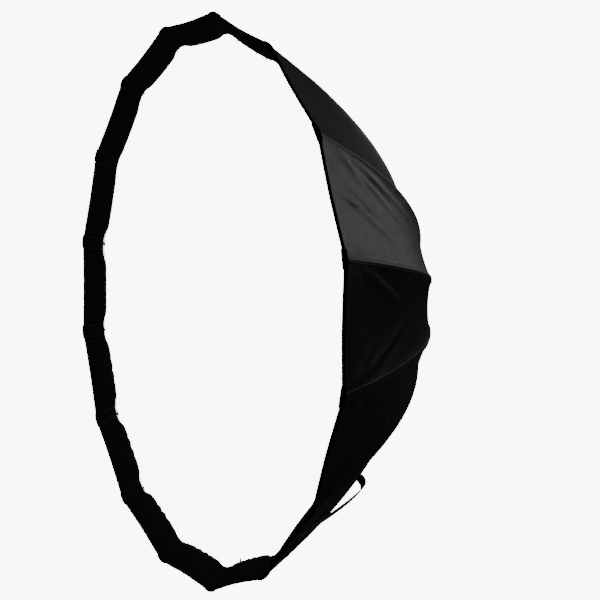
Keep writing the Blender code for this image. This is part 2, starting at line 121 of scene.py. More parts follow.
class Wires:
    """Adds and joins the nodes of one material or node group."""

    def __init__(self, tree: Tree) -> None:
        """Start on a node tree."""
        self.tree = tree

    def add(self, kind: str, **settings: object) -> Node:
        """Add a node.

        Args:
            kind: The node's Blender type name.
            settings: Properties to set on it.

        Returns:
            The new node.
        """
        node = self.tree.nodes.new(kind)
        for name, value in settings.items():
            setattr(node, name, value)
        return node

    def feed(self, socket: Socket, value: object) -> None:
        """Join a socket to another one, or set it to a plain value."""
        if isinstance(value, Socket):
            self.tree.links.new(value, socket)
        else:
            socket.default_value = value

    def math(self, operation: str, first: Number, second: Number = 0.0, third: Number = 0.0) -> Socket:
        """Add a Math node.

        Args:
            operation: The node's operation.
            first: First value or socket.
            second: Second value or socket.
            third: Third value or socket.

        Returns:
            The result's socket.
        """
        node = self.add("ShaderNodeMath", operation=operation)
        for socket, value in zip(node.inputs, (first, second, third)):
            self.feed(socket, value)
        return node.outputs[0]

    def stretch(
        self, value: Number, low: float, high: float, to_low: float = 0.0, to_high: float = 1.0,
    ) -> Socket:
        """Map a value from one range to another with soft ends.

        Args:
            value: The value or socket to map.
            low: Where the result is to_low.
            high: Where the result is to_high.
            to_low: The result at low.
            to_high: The result at high.

        Returns:
            The result's socket.
        """
        node = self.add("ShaderNodeMapRange", interpolation_type="SMOOTHSTEP")
        for socket, item in zip(node.inputs, (value, low, high, to_low, to_high)):
            self.feed(socket, item)
        return node.outputs[0]

    def noise(self, vector: Socket, scale: Number, detail: float = 3.0, rough: float = 0.55) -> Socket:
        """Add a noise texture.

        Args:
            vector: Where it is read.
            scale: Its scale, in periods a metre.
            detail: Its detail.
            rough: The share of its finer detail.

        Returns:
            The noise value's socket.
        """
        node = self.add("ShaderNodeTexNoise")
        self.feed(node.inputs["Vector"], vector)
        self.feed(node.inputs["Scale"], scale)
        self.feed(node.inputs["Detail"], detail)
        self.feed(node.inputs["Roughness"], rough)
        return node.outputs["Fac"]

    def scaled(self, vector: Socket, scale: Sequence[float], turn: float = 0.0) -> Socket:
        """Scale and turn a coordinate.

        Args:
            vector: The coordinate's socket.
            scale: Scale along each axis.
            turn: Turn about Z in radians.

        Returns:
            The changed coordinate's socket.
        """
        node = self.add("ShaderNodeMapping")
        self.feed(node.inputs["Vector"], vector)
        node.inputs["Scale"].default_value = tuple(scale)
        node.inputs["Rotation"].default_value = (0.0, 0.0, turn)
        return node.outputs[0]

    def ridges(self, value: Number, pitch: float) -> Socket:
        """Return rounded ridges from 0 to 1 along a value, one for each pitch."""
        return self.math("ABSOLUTE", self.math("SINE", self.math("MULTIPLY", value, math.pi / pitch)))

    def parts(self, vector: Socket) -> tuple[Socket, ...]:
        """Return a vector's X, Y and Z sockets."""
        node = self.add("ShaderNodeSeparateXYZ")
        self.feed(node.inputs[0], vector)
        return tuple(node.outputs)

    def tint(self, share: Number, first: object, second: object) -> Socket:
        """Mix two colours.

        Args:
            share: The second colour's share.
            first: The first colour, as three numbers or a socket.
            second: The second colour, as three numbers or a socket.

        Returns:
            The mixed colour's socket.
        """
        node = self.add("ShaderNodeMix", data_type="RGBA")
        self.feed(node.inputs["Factor"], share)
        for name, value in (("A", first), ("B", second)):
            socket = next(item for item in node.inputs if item.name == name and item.type == "RGBA")
            self.feed(socket, value if isinstance(value, Socket) else (*value, 1.0))
        return next(item for item in node.outputs if item.type == "RGBA")

    def bump(
        self, height: Socket, distance: float, strength: float = 1.0, under: Optional[Socket] = None,
    ) -> Socket:
        """Add a Bump node.

        Args:
            height: The height's socket, from 0 to 1.
            distance: The height in metres that 1 stands for.
            strength: How strongly it shows.
            under: A normal to build on.

        Returns:
            The normal's socket.
        """
        node = self.add("ShaderNodeBump")
        self.feed(node.inputs["Height"], height)
        self.feed(node.inputs["Distance"], distance)
        self.feed(node.inputs["Strength"], strength)
        if under is not None:
            self.feed(node.inputs["Normal"], under)
        return node.outputs[0]

    def group(self, tree: Tree, **values: object) -> Node:
        """Place a shared effect.

        Args:
            tree: The effect's node group.
            values: Its inputs by name, as sockets or values.

        Returns:
            The group's node.
        """
        node = self.add("ShaderNodeGroup", node_tree=tree)
        for name, value in values.items():
            self.feed(node.inputs[name], value)
        return node


class SharedEffects:
    """Node groups that several finishes place with their own values. Each is built once."""

    def __init__(self) -> None:
        """Build every group."""
        self.weave = self.build_weave()
        self.stitches = self.build_stitches()
        self.dust = self.build_dust()
        self.grain = self.build_grain()
        self.slack = self.build_slack()

    def started(
        self, name: str, inputs: Sequence[tuple[str, str]], outputs: Sequence[str],
    ) -> tuple[Wires, Node, Node]:
        """Start a group.

        Args:
            name: The group's name.
            inputs: Name and socket type of each input.
            outputs: Names of the outputs, all plain values.

        Returns:
            The group's wires, its input node and its output node.
        """
        tree = bpy.data.node_groups.new(name, "ShaderNodeTree")
        for label, kind in inputs:
            tree.interface.new_socket(label, in_out="INPUT", socket_type=kind)
        for label in outputs:
            tree.interface.new_socket(label, in_out="OUTPUT", socket_type="NodeSocketFloat")
        wires = Wires(tree)
        return wires, wires.add("NodeGroupInput"), wires.add("NodeGroupOutput")

    def build_weave(self) -> Tree:
        """Build a plain weave of warp and weft threads.

        Returns:
            The node group, with Height and Thread outputs.
        """
        wires, given, made = self.started(
            "plain_weave",
            [("Vector", "NodeSocketVector"), ("Pitch", "NodeSocketFloat")], ["Height", "Thread"])
        across, along, _ = wires.parts(given.outputs["Vector"])
        across = wires.math("DIVIDE", across, given.outputs["Pitch"])
        along = wires.math("DIVIDE", along, given.outputs["Pitch"])
        warp, weft = wires.ridges(across, 1.0), wires.ridges(along, 1.0)
        count = wires.math("ADD", wires.math("FLOOR", across), wires.math("FLOOR", along))
        over = wires.math("PINGPONG", count, 1.0)
        kept = wires.math("MULTIPLY", warp, over)
        under = wires.math("MULTIPLY", weft, wires.math("SUBTRACT", 1.0, over))
        wires.feed(made.inputs["Height"], wires.math("ADD", kept, under))
        wires.feed(made.inputs["Thread"], over)
        return wires.tree

    def build_stitches(self) -> Tree:
        """Build one row of lockstitches.

        Returns:
            The node group, with Mask and Height outputs.
        """
        wires, given, made = self.started("stitch_row", [
            ("Across", "NodeSocketFloat"), ("Along", "NodeSocketFloat"),
            ("Pitch", "NodeSocketFloat"), ("Width", "NodeSocketFloat")], ["Mask", "Height"])
        distance = wires.math("ABSOLUTE", given.outputs["Across"])
        half = wires.math("DIVIDE", distance, given.outputs["Width"])
        line = wires.stretch(half, *STITCH_EDGE)
        phase = wires.math("FRACT", wires.math("DIVIDE", given.outputs["Along"], given.outputs["Pitch"]))
        middle = wires.math("ABSOLUTE", wires.math("SUBTRACT", phase, 0.5))
        dash = wires.stretch(middle, *DASH_EDGE)
        mask = wires.math("MULTIPLY", line, dash)
        furrow = wires.stretch(half, *FURROW_EDGE)
        wires.feed(made.inputs["Mask"], mask)
        sunk = wires.math("MULTIPLY", furrow, FURROW_DEPTH)
        wires.feed(made.inputs["Height"], wires.math("SUBTRACT", mask, sunk))
        return wires.tree

    def build_dust(self) -> Tree:
        """Build a patchy film of dust and rubbing.

        Returns:
            The node group, with a Mask output.
        """
        wires, given, made = self.started(
            "dust_film", [("Vector", "NodeSocketVector"), ("Scale", "NodeSocketFloat")], ["Mask"])
        patches = wires.noise(given.outputs["Vector"], given.outputs["Scale"], 5.0, 0.6)
        finer = wires.math("MULTIPLY", given.outputs["Scale"], SPECK_SCALE)
        specks = wires.noise(given.outputs["Vector"], finer, 2.0)
        film = wires.stretch(patches, *PATCH_EDGE)
        wires.feed(made.inputs["Mask"], wires.math("MULTIPLY", film, wires.stretch(specks, *MARK_EDGE)))
        return wires.tree

    def build_grain(self) -> Tree:
        """Build the fine grain of moulded plastic or blasted metal.

        Returns:
            The node group, with Height and Mask outputs.
        """
        wires, given, made = self.started(
            "fine_grain", [("Vector", "NodeSocketVector"), ("Scale", "NodeSocketFloat")], ["Height", "Mask"])
        cells = wires.add("ShaderNodeTexVoronoi")
        wires.feed(cells.inputs["Vector"], given.outputs["Vector"])
        wires.feed(cells.inputs["Scale"], given.outputs["Scale"])
        wires.feed(made.inputs["Height"], cells.outputs["Distance"])
        wires.feed(made.inputs["Mask"], wires.noise(given.outputs["Vector"], HANDLING_SCALE, 4.0))
        return wires.tree

    def build_slack(self) -> Tree:
        """Build the small creases of thin coated cloth.

        Returns:
            The node group, with a Height output.
        """
        wires, given, made = self.started(
            "slack_creases", [("Vector", "NodeSocketVector"), ("Scale", "NodeSocketFloat")], ["Height"])
        place, scale = given.outputs["Vector"], given.outputs["Scale"]
        drift = wires.noise(place, DRIFT_SCALE, 2.0)
        ridges = wires.noise(wires.scaled(place, *RIDGE_WAY), scale, 4.0, 0.62)
        cross = wires.noise(wires.scaled(place, *CROSS_WAY), scale, 3.0, 0.5)
        sharp = wires.math("ABSOLUTE", wires.math("SUBTRACT", ridges, 0.5))
        both = wires.math("ADD", wires.math("MULTIPLY", sharp, 1.6), wires.math("MULTIPLY", cross, 0.4))
        wires.feed(made.inputs["Height"], wires.math("MULTIPLY", both, wires.stretch(drift, *DRIFT_RANGE)))
        return wires.tree


class Row(Enum):
    """Which way a row of stitches runs on a piece of cloth."""

    ALONG = "along"
    ACROSS = "across"


@dataclass(frozen=True)
class StitchRow:
    """A straight row of stitches at a distance on the piece's own UV map."""

    at: float
    way: Row = Row.ALONG
    both_sides: bool = True


@dataclass(frozen=True)
class Stitch:
    """Size of one stitch, and how far it stands out."""

    pitch: float = 0.0042
    width: float = 0.0011
    height: float = 0.0005


@dataclass(frozen=True)
class Finish:
    """What every finish has: a name and the build of its material."""

    name: str

    def material(self) -> tuple[Material, Wires, Node]:
        """Start the material.

        Returns:
            The material, its wires and its Principled shader.
        """
        made = bpy.data.materials.new(self.name)
        made.use_nodes = True
        wires = Wires(made.node_tree)
        return made, wires, made.node_tree.nodes["Principled BSDF"]

    def build(self, effects: SharedEffects) -> Material:
        """Build the material with the shared effects."""
        raise NotImplementedError

    def sew(
        self, wires: Wires, effects: SharedEffects, line: Sewn, stitch: Stitch, thread: Colour,
        under: Sewn, within: Optional[Socket] = None,
    ) -> Sewn:
        """Sew one line of stitches over a colour and a normal.

        Args:
            wires: The material's wires.
            effects: The shared node groups.
            line: Distance from the line, and the place along it.
            stitch: The stitch's size.
            thread: The thread's colour.
            under: The colour and the normal under the line.
            within: A mask that the line stays inside.

        Returns:
            The colour and the normal with the line.
        """
        row = wires.group(
            effects.stitches, Across=line[0], Along=line[1], Pitch=stitch.pitch, Width=stitch.width)
        mask, height = row.outputs["Mask"], row.outputs["Height"]
        if within is not None:
            mask, height = (wires.math("MULTIPLY", value, within) for value in (mask, height))
        return wires.tint(mask, under[0], thread), wires.bump(height, stitch.height, STITCH_SHOW, under[1])

    def close(
        self, wires: Wires, shader: Node, surface: tuple[Socket, Socket, Socket], **plain: float,
    ) -> None:
        """Feed a shader's surface and set its plain values.

        Args:
            wires: The material's wires.
            shader: The Principled shader.
            surface: Its colour, normal and roughness.
            plain: Values of its other sockets, by name with underscores for spaces.
        """
        for name, value in zip(("Base Color", "Normal", "Roughness"), surface):
            wires.feed(shader.inputs[name], value)
        for name, value in plain.items():
            shader.inputs[name.replace("_", " ")].default_value = value


@dataclass(frozen=True)
class Cloth(Finish):
    """Woven cloth or tape whose pattern follows the piece's own UV map, in metres."""

    colour: Colour = (0.012, 0.012, 0.012)
    faded: Colour = (0.03, 0.03, 0.028)
    fading: float = 0.5
    roughness: float = 0.5
    gloss: float = 0.5
    sheen: float = 0.0
    pitch: float = 0.00045
    weave_height: float = 0.00006
    creases: float = 0.0
    crease_scale: float = 60.0
    fuzz: float = 0.0
    rows: tuple[StitchRow, ...] = ()
    thread: Colour = (0.02, 0.02, 0.02)
    # Emission strength: a painted glow, standing in for light shining through the cloth from a lamp the scene
    # does not have.
    glow: float = 0.0

    def build(self, effects: SharedEffects) -> Material:
        """Build the cloth with its weave, creases and stitch rows.

        Args:
            effects: The shared node groups.

        Returns:
            The finished material.
        """
        made, wires, shader = self.material()
        surface = wires.add("ShaderNodeUVMap", uv_map="cloth").outputs[0]
        across, along, _ = wires.parts(surface)
        weave = wires.group(effects.weave, Vector=surface, Pitch=self.pitch)
        dust = wires.group(effects.dust, Vector=surface, Scale=CLOTH_DUST)
        share = wires.math("MULTIPLY", dust.outputs["Mask"], self.fading)
        colour = wires.tint(share, self.colour, self.faded)
        darker = tuple(part * DARK_THREAD for part in self.colour)
        colour = wires.tint(wires.math("MULTIPLY", weave.outputs["Thread"], DARK_SHARE), colour, darker)
        normal = wires.bump(weave.outputs["Height"], self.weave_height, 0.6)
        if self.creases:
            slack = wires.group(effects.slack, Vector=surface, Scale=self.crease_scale)
            normal = wires.bump(slack.outputs["Height"], self.creases, 1.0, normal)
        if self.fuzz:
            nap = wires.noise(surface, NAP_SCALE, 3.0, 0.7)
            normal = wires.bump(nap, self.fuzz, 0.8, normal)
        for row in self.rows:
            aside, run = (across, along) if row.way is Row.ALONG else (along, across)
            if row.both_sides:
                aside = wires.math("ABSOLUTE", aside)
            line = (wires.math("SUBTRACT", aside, row.at), run)
            colour, normal = self.sew(wires, effects, line, Stitch(), self.thread, (colour, normal))
        wear = (0.0, 1.0, self.roughness, min(self.roughness + WORN_GAIN, 1.0))
        worn = wires.stretch(dust.outputs["Mask"], *wear)
        self.close(wires, shader, (colour, normal, worn), Specular_IOR_Level=self.gloss,
                   Sheen_Weight=self.sheen, Sheen_Roughness=0.5)
        # Painted glow: the cloth's own colour is given off as emission, as if it were lit from behind.
        if self.glow:
            wires.feed(shader.inputs["Emission Color"], colour)
            shader.inputs["Emission Strength"].default_value = self.glow
        return made


@dataclass(frozen=True)
class Webbing(Finish):
    """Woven tape with a rib across it, on the piece's own UV map."""

    colour: Colour = (0.010, 0.010, 0.010)
    worn: Colour = (0.035, 0.034, 0.032)
    rib: float = 0.0016
    roughness: float = 0.72
    box_at: tuple[float, ...] = ()
    box: float = 0.015
    thread: Colour = (0.06, 0.06, 0.058)
    gloss: float = 0.35
    sheen: float = 0.05
    side_row: float = 0.0
    box_stitch: Stitch = Stitch(0.0030, 0.0010, 0.0004)
    side_stitch: Stitch = Stitch(0.0034, 0.0014, 0.0005)

    def build(self, effects: SharedEffects) -> Material:
        """Build the tape with its ribs, selvedges and box stitches.

        Args:
            effects: The shared node groups.

        Returns:
            The finished material.
        """
        made, wires, shader = self.material()
        surface = wires.add("ShaderNodeUVMap", uv_map="cloth").outputs[0]
        across, along, _ = wires.parts(surface)
        ribs = wires.ridges(along, self.rib)
        weave = wires.group(effects.weave, Vector=surface, Pitch=self.rib * 0.5)
        dust = wires.group(effects.dust, Vector=surface, Scale=TAPE_DUST)
        colour = wires.tint(wires.math("MULTIPLY", dust.outputs["Mask"], 0.5), self.colour, self.worn)
        normal = wires.bump(ribs, RIB_HEIGHT, 0.8, wires.bump(weave.outputs["Height"], THREAD_HEIGHT, 0.7))
        for middle in self.box_at:
            for aside, run, reach in self.box_lines(wires, across, along, middle):
                colour, normal = self.sew(
                    wires, effects, (aside, run), self.box_stitch, self.thread, (colour, normal), reach)
        if self.side_row:
            line = (wires.math("SUBTRACT", wires.math("ABSOLUTE", across), self.side_row), along)
            colour, normal = self.sew(wires, effects, line, self.side_stitch, self.thread, (colour, normal))
        worn = wires.stretch(ribs, 0.0, 1.0, self.roughness + RIB_GAIN, self.roughness)
        self.close(wires, shader, (colour, normal, worn), Specular_IOR_Level=self.gloss,
                   Sheen_Weight=self.sheen)
        return made

    def box_lines(
        self, wires: Wires, across: Socket, along: Socket, middle: float,
    ) -> list[tuple[Socket, Socket, Socket]]:
        """Work out the four sides and two diagonals of a box stitch.

        Args:
            wires: The material's wires.
            across: Distance across the tape.
            along: Distance along the tape.
            middle: Where along the tape the box is centred.

        Returns:
            For each line its distance, the place along it, and a mask of the box.
        """
        half = self.box / 2
        there = wires.math("SUBTRACT", along, middle)
        wide, long = wires.math("ABSOLUTE", across), wires.math("ABSOLUTE", there)
        reach = wires.stretch(wires.math("MAXIMUM", wide, long), half * CORNER_BOX[0], half * CORNER_BOX[1])
        lines = [
            (wires.math("SUBTRACT", wide, half), there, reach),
            (wires.math("SUBTRACT", long, half), across, reach),
        ]
        for sign in (-1.0, 1.0):
            slant = wires.math("MULTIPLY", wires.math("MULTIPLY_ADD", across, sign, there), math.sqrt(0.5))
            run = wires.math("MULTIPLY", wires.math("MULTIPLY_ADD", across, -sign, there), math.sqrt(0.5))
            lines.append((slant, run, reach))
        return lines


@dataclass(frozen=True)
class Moulding(Finish):
    """Moulded plastic with a fine grain, lighter where hands rub it."""

    colour: Colour = (0.014, 0.014, 0.015)
    rubbed: Colour = (0.035, 0.035, 0.036)
    roughness: float = 0.48
    grain: float = 2600.0
    smoother: float = 0.06
    rougher: float = 0.10

    def build(self, effects: SharedEffects) -> Material:
        """Build the plastic with its grain and rubbing.

        Args:
            effects: The shared node groups.

        Returns:
            The finished material.
        """
        made, wires, shader = self.material()
        place = wires.add("ShaderNodeTexCoord").outputs["Object"]
        grain = wires.group(effects.grain, Vector=place, Scale=self.grain)
        dust = wires.group(effects.dust, Vector=place, Scale=MOULDING_DUST)
        rubbed = wires.math("MULTIPLY", dust.outputs["Mask"], 0.6)
        colour = wires.tint(rubbed, self.colour, self.rubbed)
        normal = wires.bump(grain.outputs["Height"], GRAIN_HEIGHT, 0.7)
        spread = (self.roughness - self.smoother, self.roughness + self.rougher)
        self.close(wires, shader, (
            colour, normal, wires.stretch(grain.outputs["Mask"], *MARK_EDGE, *spread)))
        return made


@dataclass(frozen=True)
class Metal(Finish):
    """Turned, plated or lacquered metal with fine machining lines and handling marks."""

    colour: Colour = (0.55, 0.56, 0.58)
    stained: Colour = (0.30, 0.30, 0.31)
    roughness: float = 0.28
    metallic: float = 1.0
    lines: tuple[float, float, float] = (60.0, 900.0, 60.0)
    coat: float = 0.0
    smoother: float = 0.05
    rougher: float = 0.12

    def build(self, effects: SharedEffects) -> Material:
        """Build the metal with its lines and marks.

        Args:
            effects: The shared node groups.

        Returns:
            The finished material.
        """
        made, wires, shader = self.material()
        place = wires.add("ShaderNodeTexCoord").outputs["Object"]
        lines = wires.noise(wires.scaled(place, self.lines), 1.0, 3.0)
        dust = wires.group(effects.dust, Vector=place, Scale=METAL_DUST)
        colour = wires.tint(wires.math("MULTIPLY", dust.outputs["Mask"], 0.55), self.colour, self.stained)
        spread = (self.roughness - self.smoother, self.roughness + self.rougher)
        surface = (colour, wires.bump(lines, LINE_HEIGHT, 0.6), wires.stretch(lines, *MARK_EDGE, *spread))
        self.close(wires, shader, surface, Metallic=self.metallic, Coat_Weight=self.coat)
        return made


@dataclass
class Finishes:
    """Every material of the softbox, by the name of its finish."""

    effects: SharedEffects = field(default_factory=SharedEffects)
    made: dict[str, Material] = field(default_factory=dict)

    def __post_init__(self) -> None:
        """Build every finish."""
        seams = (StitchRow(0.0031), StitchRow(0.0056, Row.ACROSS, False))
        kinds = [
            Cloth("shell_nylon", (0.0068, 0.0068, 0.0062), (0.012, 0.012, 0.0105), 0.5, 0.32, 0.24, 0.0,
                  0.00042, 0.00004, 0.0009, 40.0, 0.0, seams, (0.016, 0.016, 0.015)),
            Cloth("shell_lining", (0.62, 0.63, 0.64), (0.48, 0.49, 0.50), 0.5, 0.30, 0.6, 0.0,
                  0.0005, 0.00005, 0.0010, 60.0),
            Cloth("lip_webbing", (0.0022, 0.0022, 0.0023), (0.0050, 0.0050, 0.0048), 0.5, 0.95, 0.0, 0.0,
                  0.0011, 0.0001, 0.0, 60.0, 0.0003,
                  (StitchRow(0.0125, Row.ACROSS, False), StitchRow(0.0525, Row.ACROSS, False)),
                  (0.006, 0.006, 0.006)),
            # The diffuser's glow of 9.5 is painted light: an emission standing in for the lamp inside the
            # softbox.
            Cloth("diffuser_cloth", (0.93, 0.93, 0.925), (0.92, 0.917, 0.90), 0.35, 0.85, 0.1, 0.0,
                  0.0006, 0.00002, 0.0002, 20.0, 0.0, (), (0.8, 0.8, 0.8), 9.5),
            Cloth("elastic", (0.012, 0.012, 0.012), (0.03, 0.03, 0.03), 0.5, 0.8, 0.3, 0.05, 0.0010, 0.0002),
            Webbing("strap_webbing", box_at=(0.011, 0.112)),
            Webbing("pocket_webbing", (0.0022, 0.0022, 0.0023), (0.0050, 0.0050, 0.0048), 0.0013, 0.80,
                    (), 0.013, (0.008, 0.008, 0.0078), 0.0, 0.0, 0.0108),
            Cloth("tab_tape", (0.20, 0.20, 0.20), (0.30, 0.30, 0.29), 0.5, 0.8, 0.3, 0.0, 0.0009, 0.0001),
            Moulding("hub_plastic"),
            Moulding("latch_plastic", (0.36, 0.022, 0.018), (0.42, 0.06, 0.05), 0.42, 2200.0),
            Metal("mount_alloy"),
            Metal("fastener_steel", (0.42, 0.42, 0.43), (0.25, 0.25, 0.25), 0.30, 1.0, (900.0, 60.0, 900.0)),
            Metal("rib_steel", (0.020, 0.020, 0.021), (0.05, 0.05, 0.05), 0.34, 0.0,
                  (300.0, 300.0, 300.0), 0.3),
            Moulding("mark_paint", (0.75, 0.04, 0.03), (0.6, 0.1, 0.08), 0.45, 1200.0),
        ]
        for kind in kinds:
            self.made[kind.name] = kind.build(self.effects)

    def dress(self, piece: Piece, *names: str) -> None:
        """Give a piece its materials in order, in place of what it has, and report it."""
        LOG.info("%s: %s", piece.name, names[0])
        piece.data.materials.clear()
        for name in names:
            piece.data.materials.append(self.made[name])


# ---------------------------------------------------------------------------------------------
# Shapes
# ---------------------------------------------------------------------------------------------


@dataclass(frozen=True)
class Bowl:
    """Size of the cover's bowl, whose corners run along the ribs."""

    ribs: int = 16
    hub_radius: float = 0.065
    hub_forward: float = 0.022
    rim_radius: float = 0.425
    depth: float = 0.361
    opening: float = 0.0838
    hinge_radius: float = 0.062
    hinge_forward: float = 0.0282
    fold_angle: float = math.radians(45.0)
    corner_round: float = 0.013
    side_hollow: float = 0.0022
    rim_start: float = 0.372
    rim_blend: float = 0.035
    lean_width: float = 0.009

    @property
    def half_step(self) -> float:
        """Half the angle between two ribs."""
        return math.pi / self.ribs

    def rib_angle(self, index: int) -> float:
        """Angle of a rib, counted from 1, from +X toward +Z."""
        return self.half_step * (2 * index - 1)

    def line(self, share: float) -> Vector:
        """Radius and forward distance of the corner line, from 0 at the hub to 1 at the rim."""
        return Vector((
            self.hub_radius + (self.rim_radius - self.hub_radius) * share,
            self.hub_forward + self.depth * share * share,
        ))

    def outward(self, share: float) -> Vector:
        """Radial and forward parts of the corner line's outward normal."""
        along = Vector((self.rim_radius - self.hub_radius, 2 * self.depth * share)).normalized()
        return Vector((along.y, -along.x))

    def share_of(self, radius: float) -> float:
        """Share of the corner line at a radius."""
        return (radius - self.hub_radius) / (self.rim_radius - self.hub_radius)

    def back(self, share: float) -> float:
        """Measure along the corner line.

        Args:
            share: A place on the line.

        Returns:
            The distance from the rim back to it.
        """
        wide, deep = self.rim_radius - self.hub_radius, 2 * self.depth

        def run(at: float) -> float:
            """Length of the line from share 0."""
            root = math.sqrt(wide * wide + deep * deep * at * at)
            return at / 2 * root + wide * wide / (2 * deep) * math.asinh(deep * at / wide)

        return run(1.0) - run(share)

    def half_width(self, radius: float) -> float:
        """Half the width of a flat gore whose corners are at a radius."""
        return radius * math.sin(self.half_step)

    def recess(self, across: float, radius: float) -> float:
        """Distance that the rounded corner lies inside the sharp one.

        Args:
            across: Distance from the rib.
            radius: Radius of the corner, which is only rounded near the rim.

        Returns:
            The distance.
        """
        near = max(0.0, 1.0 - abs(across) / self.corner_round)
        return math.sin(self.half_step) * self.corner_round / 2 * near * near * self.near_rim(radius)

    def near_rim(self, radius: float) -> float:
        """Share of the rim's own shape that shows at a radius."""
        return eased((radius - self.rim_start) / self.rim_blend)

    def kept(self, radius: float, forward: float) -> float:
        """Share of its radius that a point on a rib keeps when the frame is folded."""
        out = (radius - self.hinge_radius) * math.cos(self.fold_angle)
        inward = (forward - self.hinge_forward) * math.sin(self.fold_angle)
        return min((self.hinge_radius + out - inward) / radius, 1.0)


BOWL = Bowl()


@dataclass(frozen=True)
class Sector:
    """One sixteenth of the softbox, centred on a rib, between the middles of two gores."""

    index: int
    bowl: Bowl = BOWL

    @property
    def angle(self) -> float:
        """The rib's angle."""
        return self.bowl.rib_angle(self.index)

    @property
    def name(self) -> str:
        """The rib's number in two digits."""
        return f"{self.index:02d}"

    @property
    def body(self) -> str:
        """The rib's moving body."""
        return f"fold_rib_{self.name}"

    def ray(self, turn: float = 0.0) -> Vector:
        """Unit vector away from the axis, turned from the rib by an angle."""
        return Vector((math.cos(self.angle + turn), 0.0, math.sin(self.angle + turn)))

    @property
    def sideways(self) -> Vector:
        """Unit vector around the axis at the rib."""
        return Vector((-math.sin(self.angle), 0.0, math.cos(self.angle)))

    def away(self, out: Vector, turn: float = 0.0) -> Vector:
        """Turn a radial and a forward part into a direction beside the rib."""
        return self.ray(turn) * out.x + FORWARD * out.y

    def point(self, across: float, spot: Vector, out: Vector, lift: float = 0.0) -> Vector:
        """Place a point on the flat gores beside the rib.

        Args:
            across: Distance from the rib along the gore, negative on the lower side.
            spot: Radius and forward distance at the rib.
            out: Radial and forward parts of the direction to lift in.
            lift: Distance to lift.

        Returns:
            The point in the row frame.
        """
        side = 1.0 if across >= 0 else -1.0
        half = self.bowl.half_width(spot.x)
        share = min(abs(across) / half, 1.0) if half else 0.0
        corner = self.ray() * spot.x
        middle = self.ray(side * self.bowl.half_step) * (spot.x * math.cos(self.bowl.half_step))
        flat = corner.lerp(middle, share)
        lean = side * self.bowl.half_step * eased(abs(across) / self.bowl.lean_width)
        away = self.away(out, lean)
        corner_cut = self.ray() * self.bowl.recess(across, spot.x)
        hollow = self.bowl.side_hollow * eased(share) * self.bowl.near_rim(spot.x)
        pulled = self.ray(side * self.bowl.half_step) * hollow
        return Vector((flat.x, -spot.y, flat.z)) - corner_cut - pulled + away * lift


def in_scene(name: str, data: bpy.types.ID) -> Piece:
    """Make an object of its data and put it in the scene."""
    made = bpy.data.objects.new(name, data)
    bpy.context.scene.collection.objects.link(made)
    return made


def add_wall(piece: Piece, thick: float, side: float = -1.0, inner_slot: int = 0) -> None:
    """Give cloth its thickness.

    Args:
        piece: The cloth.
        thick: Its thickness.
        side: -1 to build behind the front side, 1 to build before it.
        inner_slot: How many materials further the back is.
    """
    wall = piece.modifiers.new("thickness", "SOLIDIFY")
    wall.thickness = thick
    wall.offset = side
    wall.material_offset = inner_slot
    wall.use_even_offset = False


def run_lengths(points: Sequence[Vector]) -> list[float]:
    """Return the distance along a path at each of its points."""
    lengths = [0.0]
    for before, after in zip(points, points[1:]):
        lengths.append(lengths[-1] + (after - before).length)
    return lengths


SECTORS = tuple(Sector(index) for index in range(1, BOWL.ribs + 1))
STRAIGHT_OUT = Vector((1.0, 0.0))


def object_from(name: str, shape: Shape, smooth_angle: float = 50.0) -> Piece:
    """Turn a bmesh into an object at the origin.

    Args:
        name: The object's name.
        shape: Its bmesh, which is freed.
        smooth_angle: Edges sharper than this, in degrees, stay sharp.

    Returns:
        The object, linked to the scene.
    """
    shape.edges.index_update()
    borders = [edge.index for edge in shape.edges if edge.is_boundary]
    mesh = bpy.data.meshes.new(name)
    shape.to_mesh(mesh)
    shape.free()
    mesh.shade_smooth()
    mesh.set_sharp_from_angle(angle=math.radians(smooth_angle))
    for border in borders:
        mesh.edges[border].use_edge_sharp = True
    return in_scene(name, mesh)


Spot = tuple[Vector, tuple[float, float]]


def cloth_piece(
    name: str, columns: int, rows: int, spot: Callable[[int, int], Spot], front: Vector, thick: float,
) -> Piece:
    """Lay a grid of cloth over a surface and give it a thickness.

    Args:
        name: The piece's name.
        columns: Faces across.
        rows: Faces along.
        spot: Gives the place and the UV of a grid point, by its column and row.
        front: A direction that the front side looks to.
        thick: Thickness, built behind the front side.

    Returns:
        The piece, with its UV map "cloth".
    """
    shape = bmesh.new()
    bmesh.ops.create_grid(shape, x_segments=columns, y_segments=rows, size=1.0)
    layer = shape.loops.layers.uv.new("cloth")
    flat: dict[bmesh.types.BMVert, tuple[float, float]] = {}
    for vert in shape.verts:
        column = round((vert.co.x + 1.0) / 2.0 * columns)
        row = round((vert.co.y + 1.0) / 2.0 * rows)
        vert.co, flat[vert] = spot(column, row)
    for face in shape.faces:
        for loop in face.loops:
            loop[layer].uv = flat[loop.vert]
    bmesh.ops.remove_doubles(shape, verts=shape.verts, dist=SAME_PLACE)
    shape.normal_update()
    if sum(face.normal.dot(front) * face.calc_area() for face in shape.faces) < 0:
        bmesh.ops.reverse_faces(shape, faces=shape.faces)
    piece = object_from(name, shape)
    if thick:
        add_wall(piece, thick, inner_slot=1)
    return piece


def bevelled_block(low: Vector, high: Vector, edge: float) -> Shape:
    """Make a box with rounded edges.

    Args:
        low: Its lowest corner.
        high: Its highest corner.
        edge: Radius of the edges.

    Returns:
        The box's bmesh.
    """
    shape = bmesh.new()
    bmesh.ops.create_cube(shape, size=1.0)
    bmesh.ops.scale(shape, vec=high - low, verts=shape.verts)
    bmesh.ops.translate(shape, vec=(low + high) / 2, verts=shape.verts)
    bmesh.ops.bevel(
        shape, geom=shape.edges, offset=edge, segments=2, profile=0.5, affect="EDGES", material=-1)
    return shape


def turn_about_axis(shape: Shape, angle: float) -> Shape:
    """Turn a bmesh about the main axis, from +X toward +Z."""
    bmesh.ops.rotate(shape, verts=shape.verts, cent=(0, 0, 0), matrix=Matrix.Rotation(-angle, 3, "Y"))
    return shape


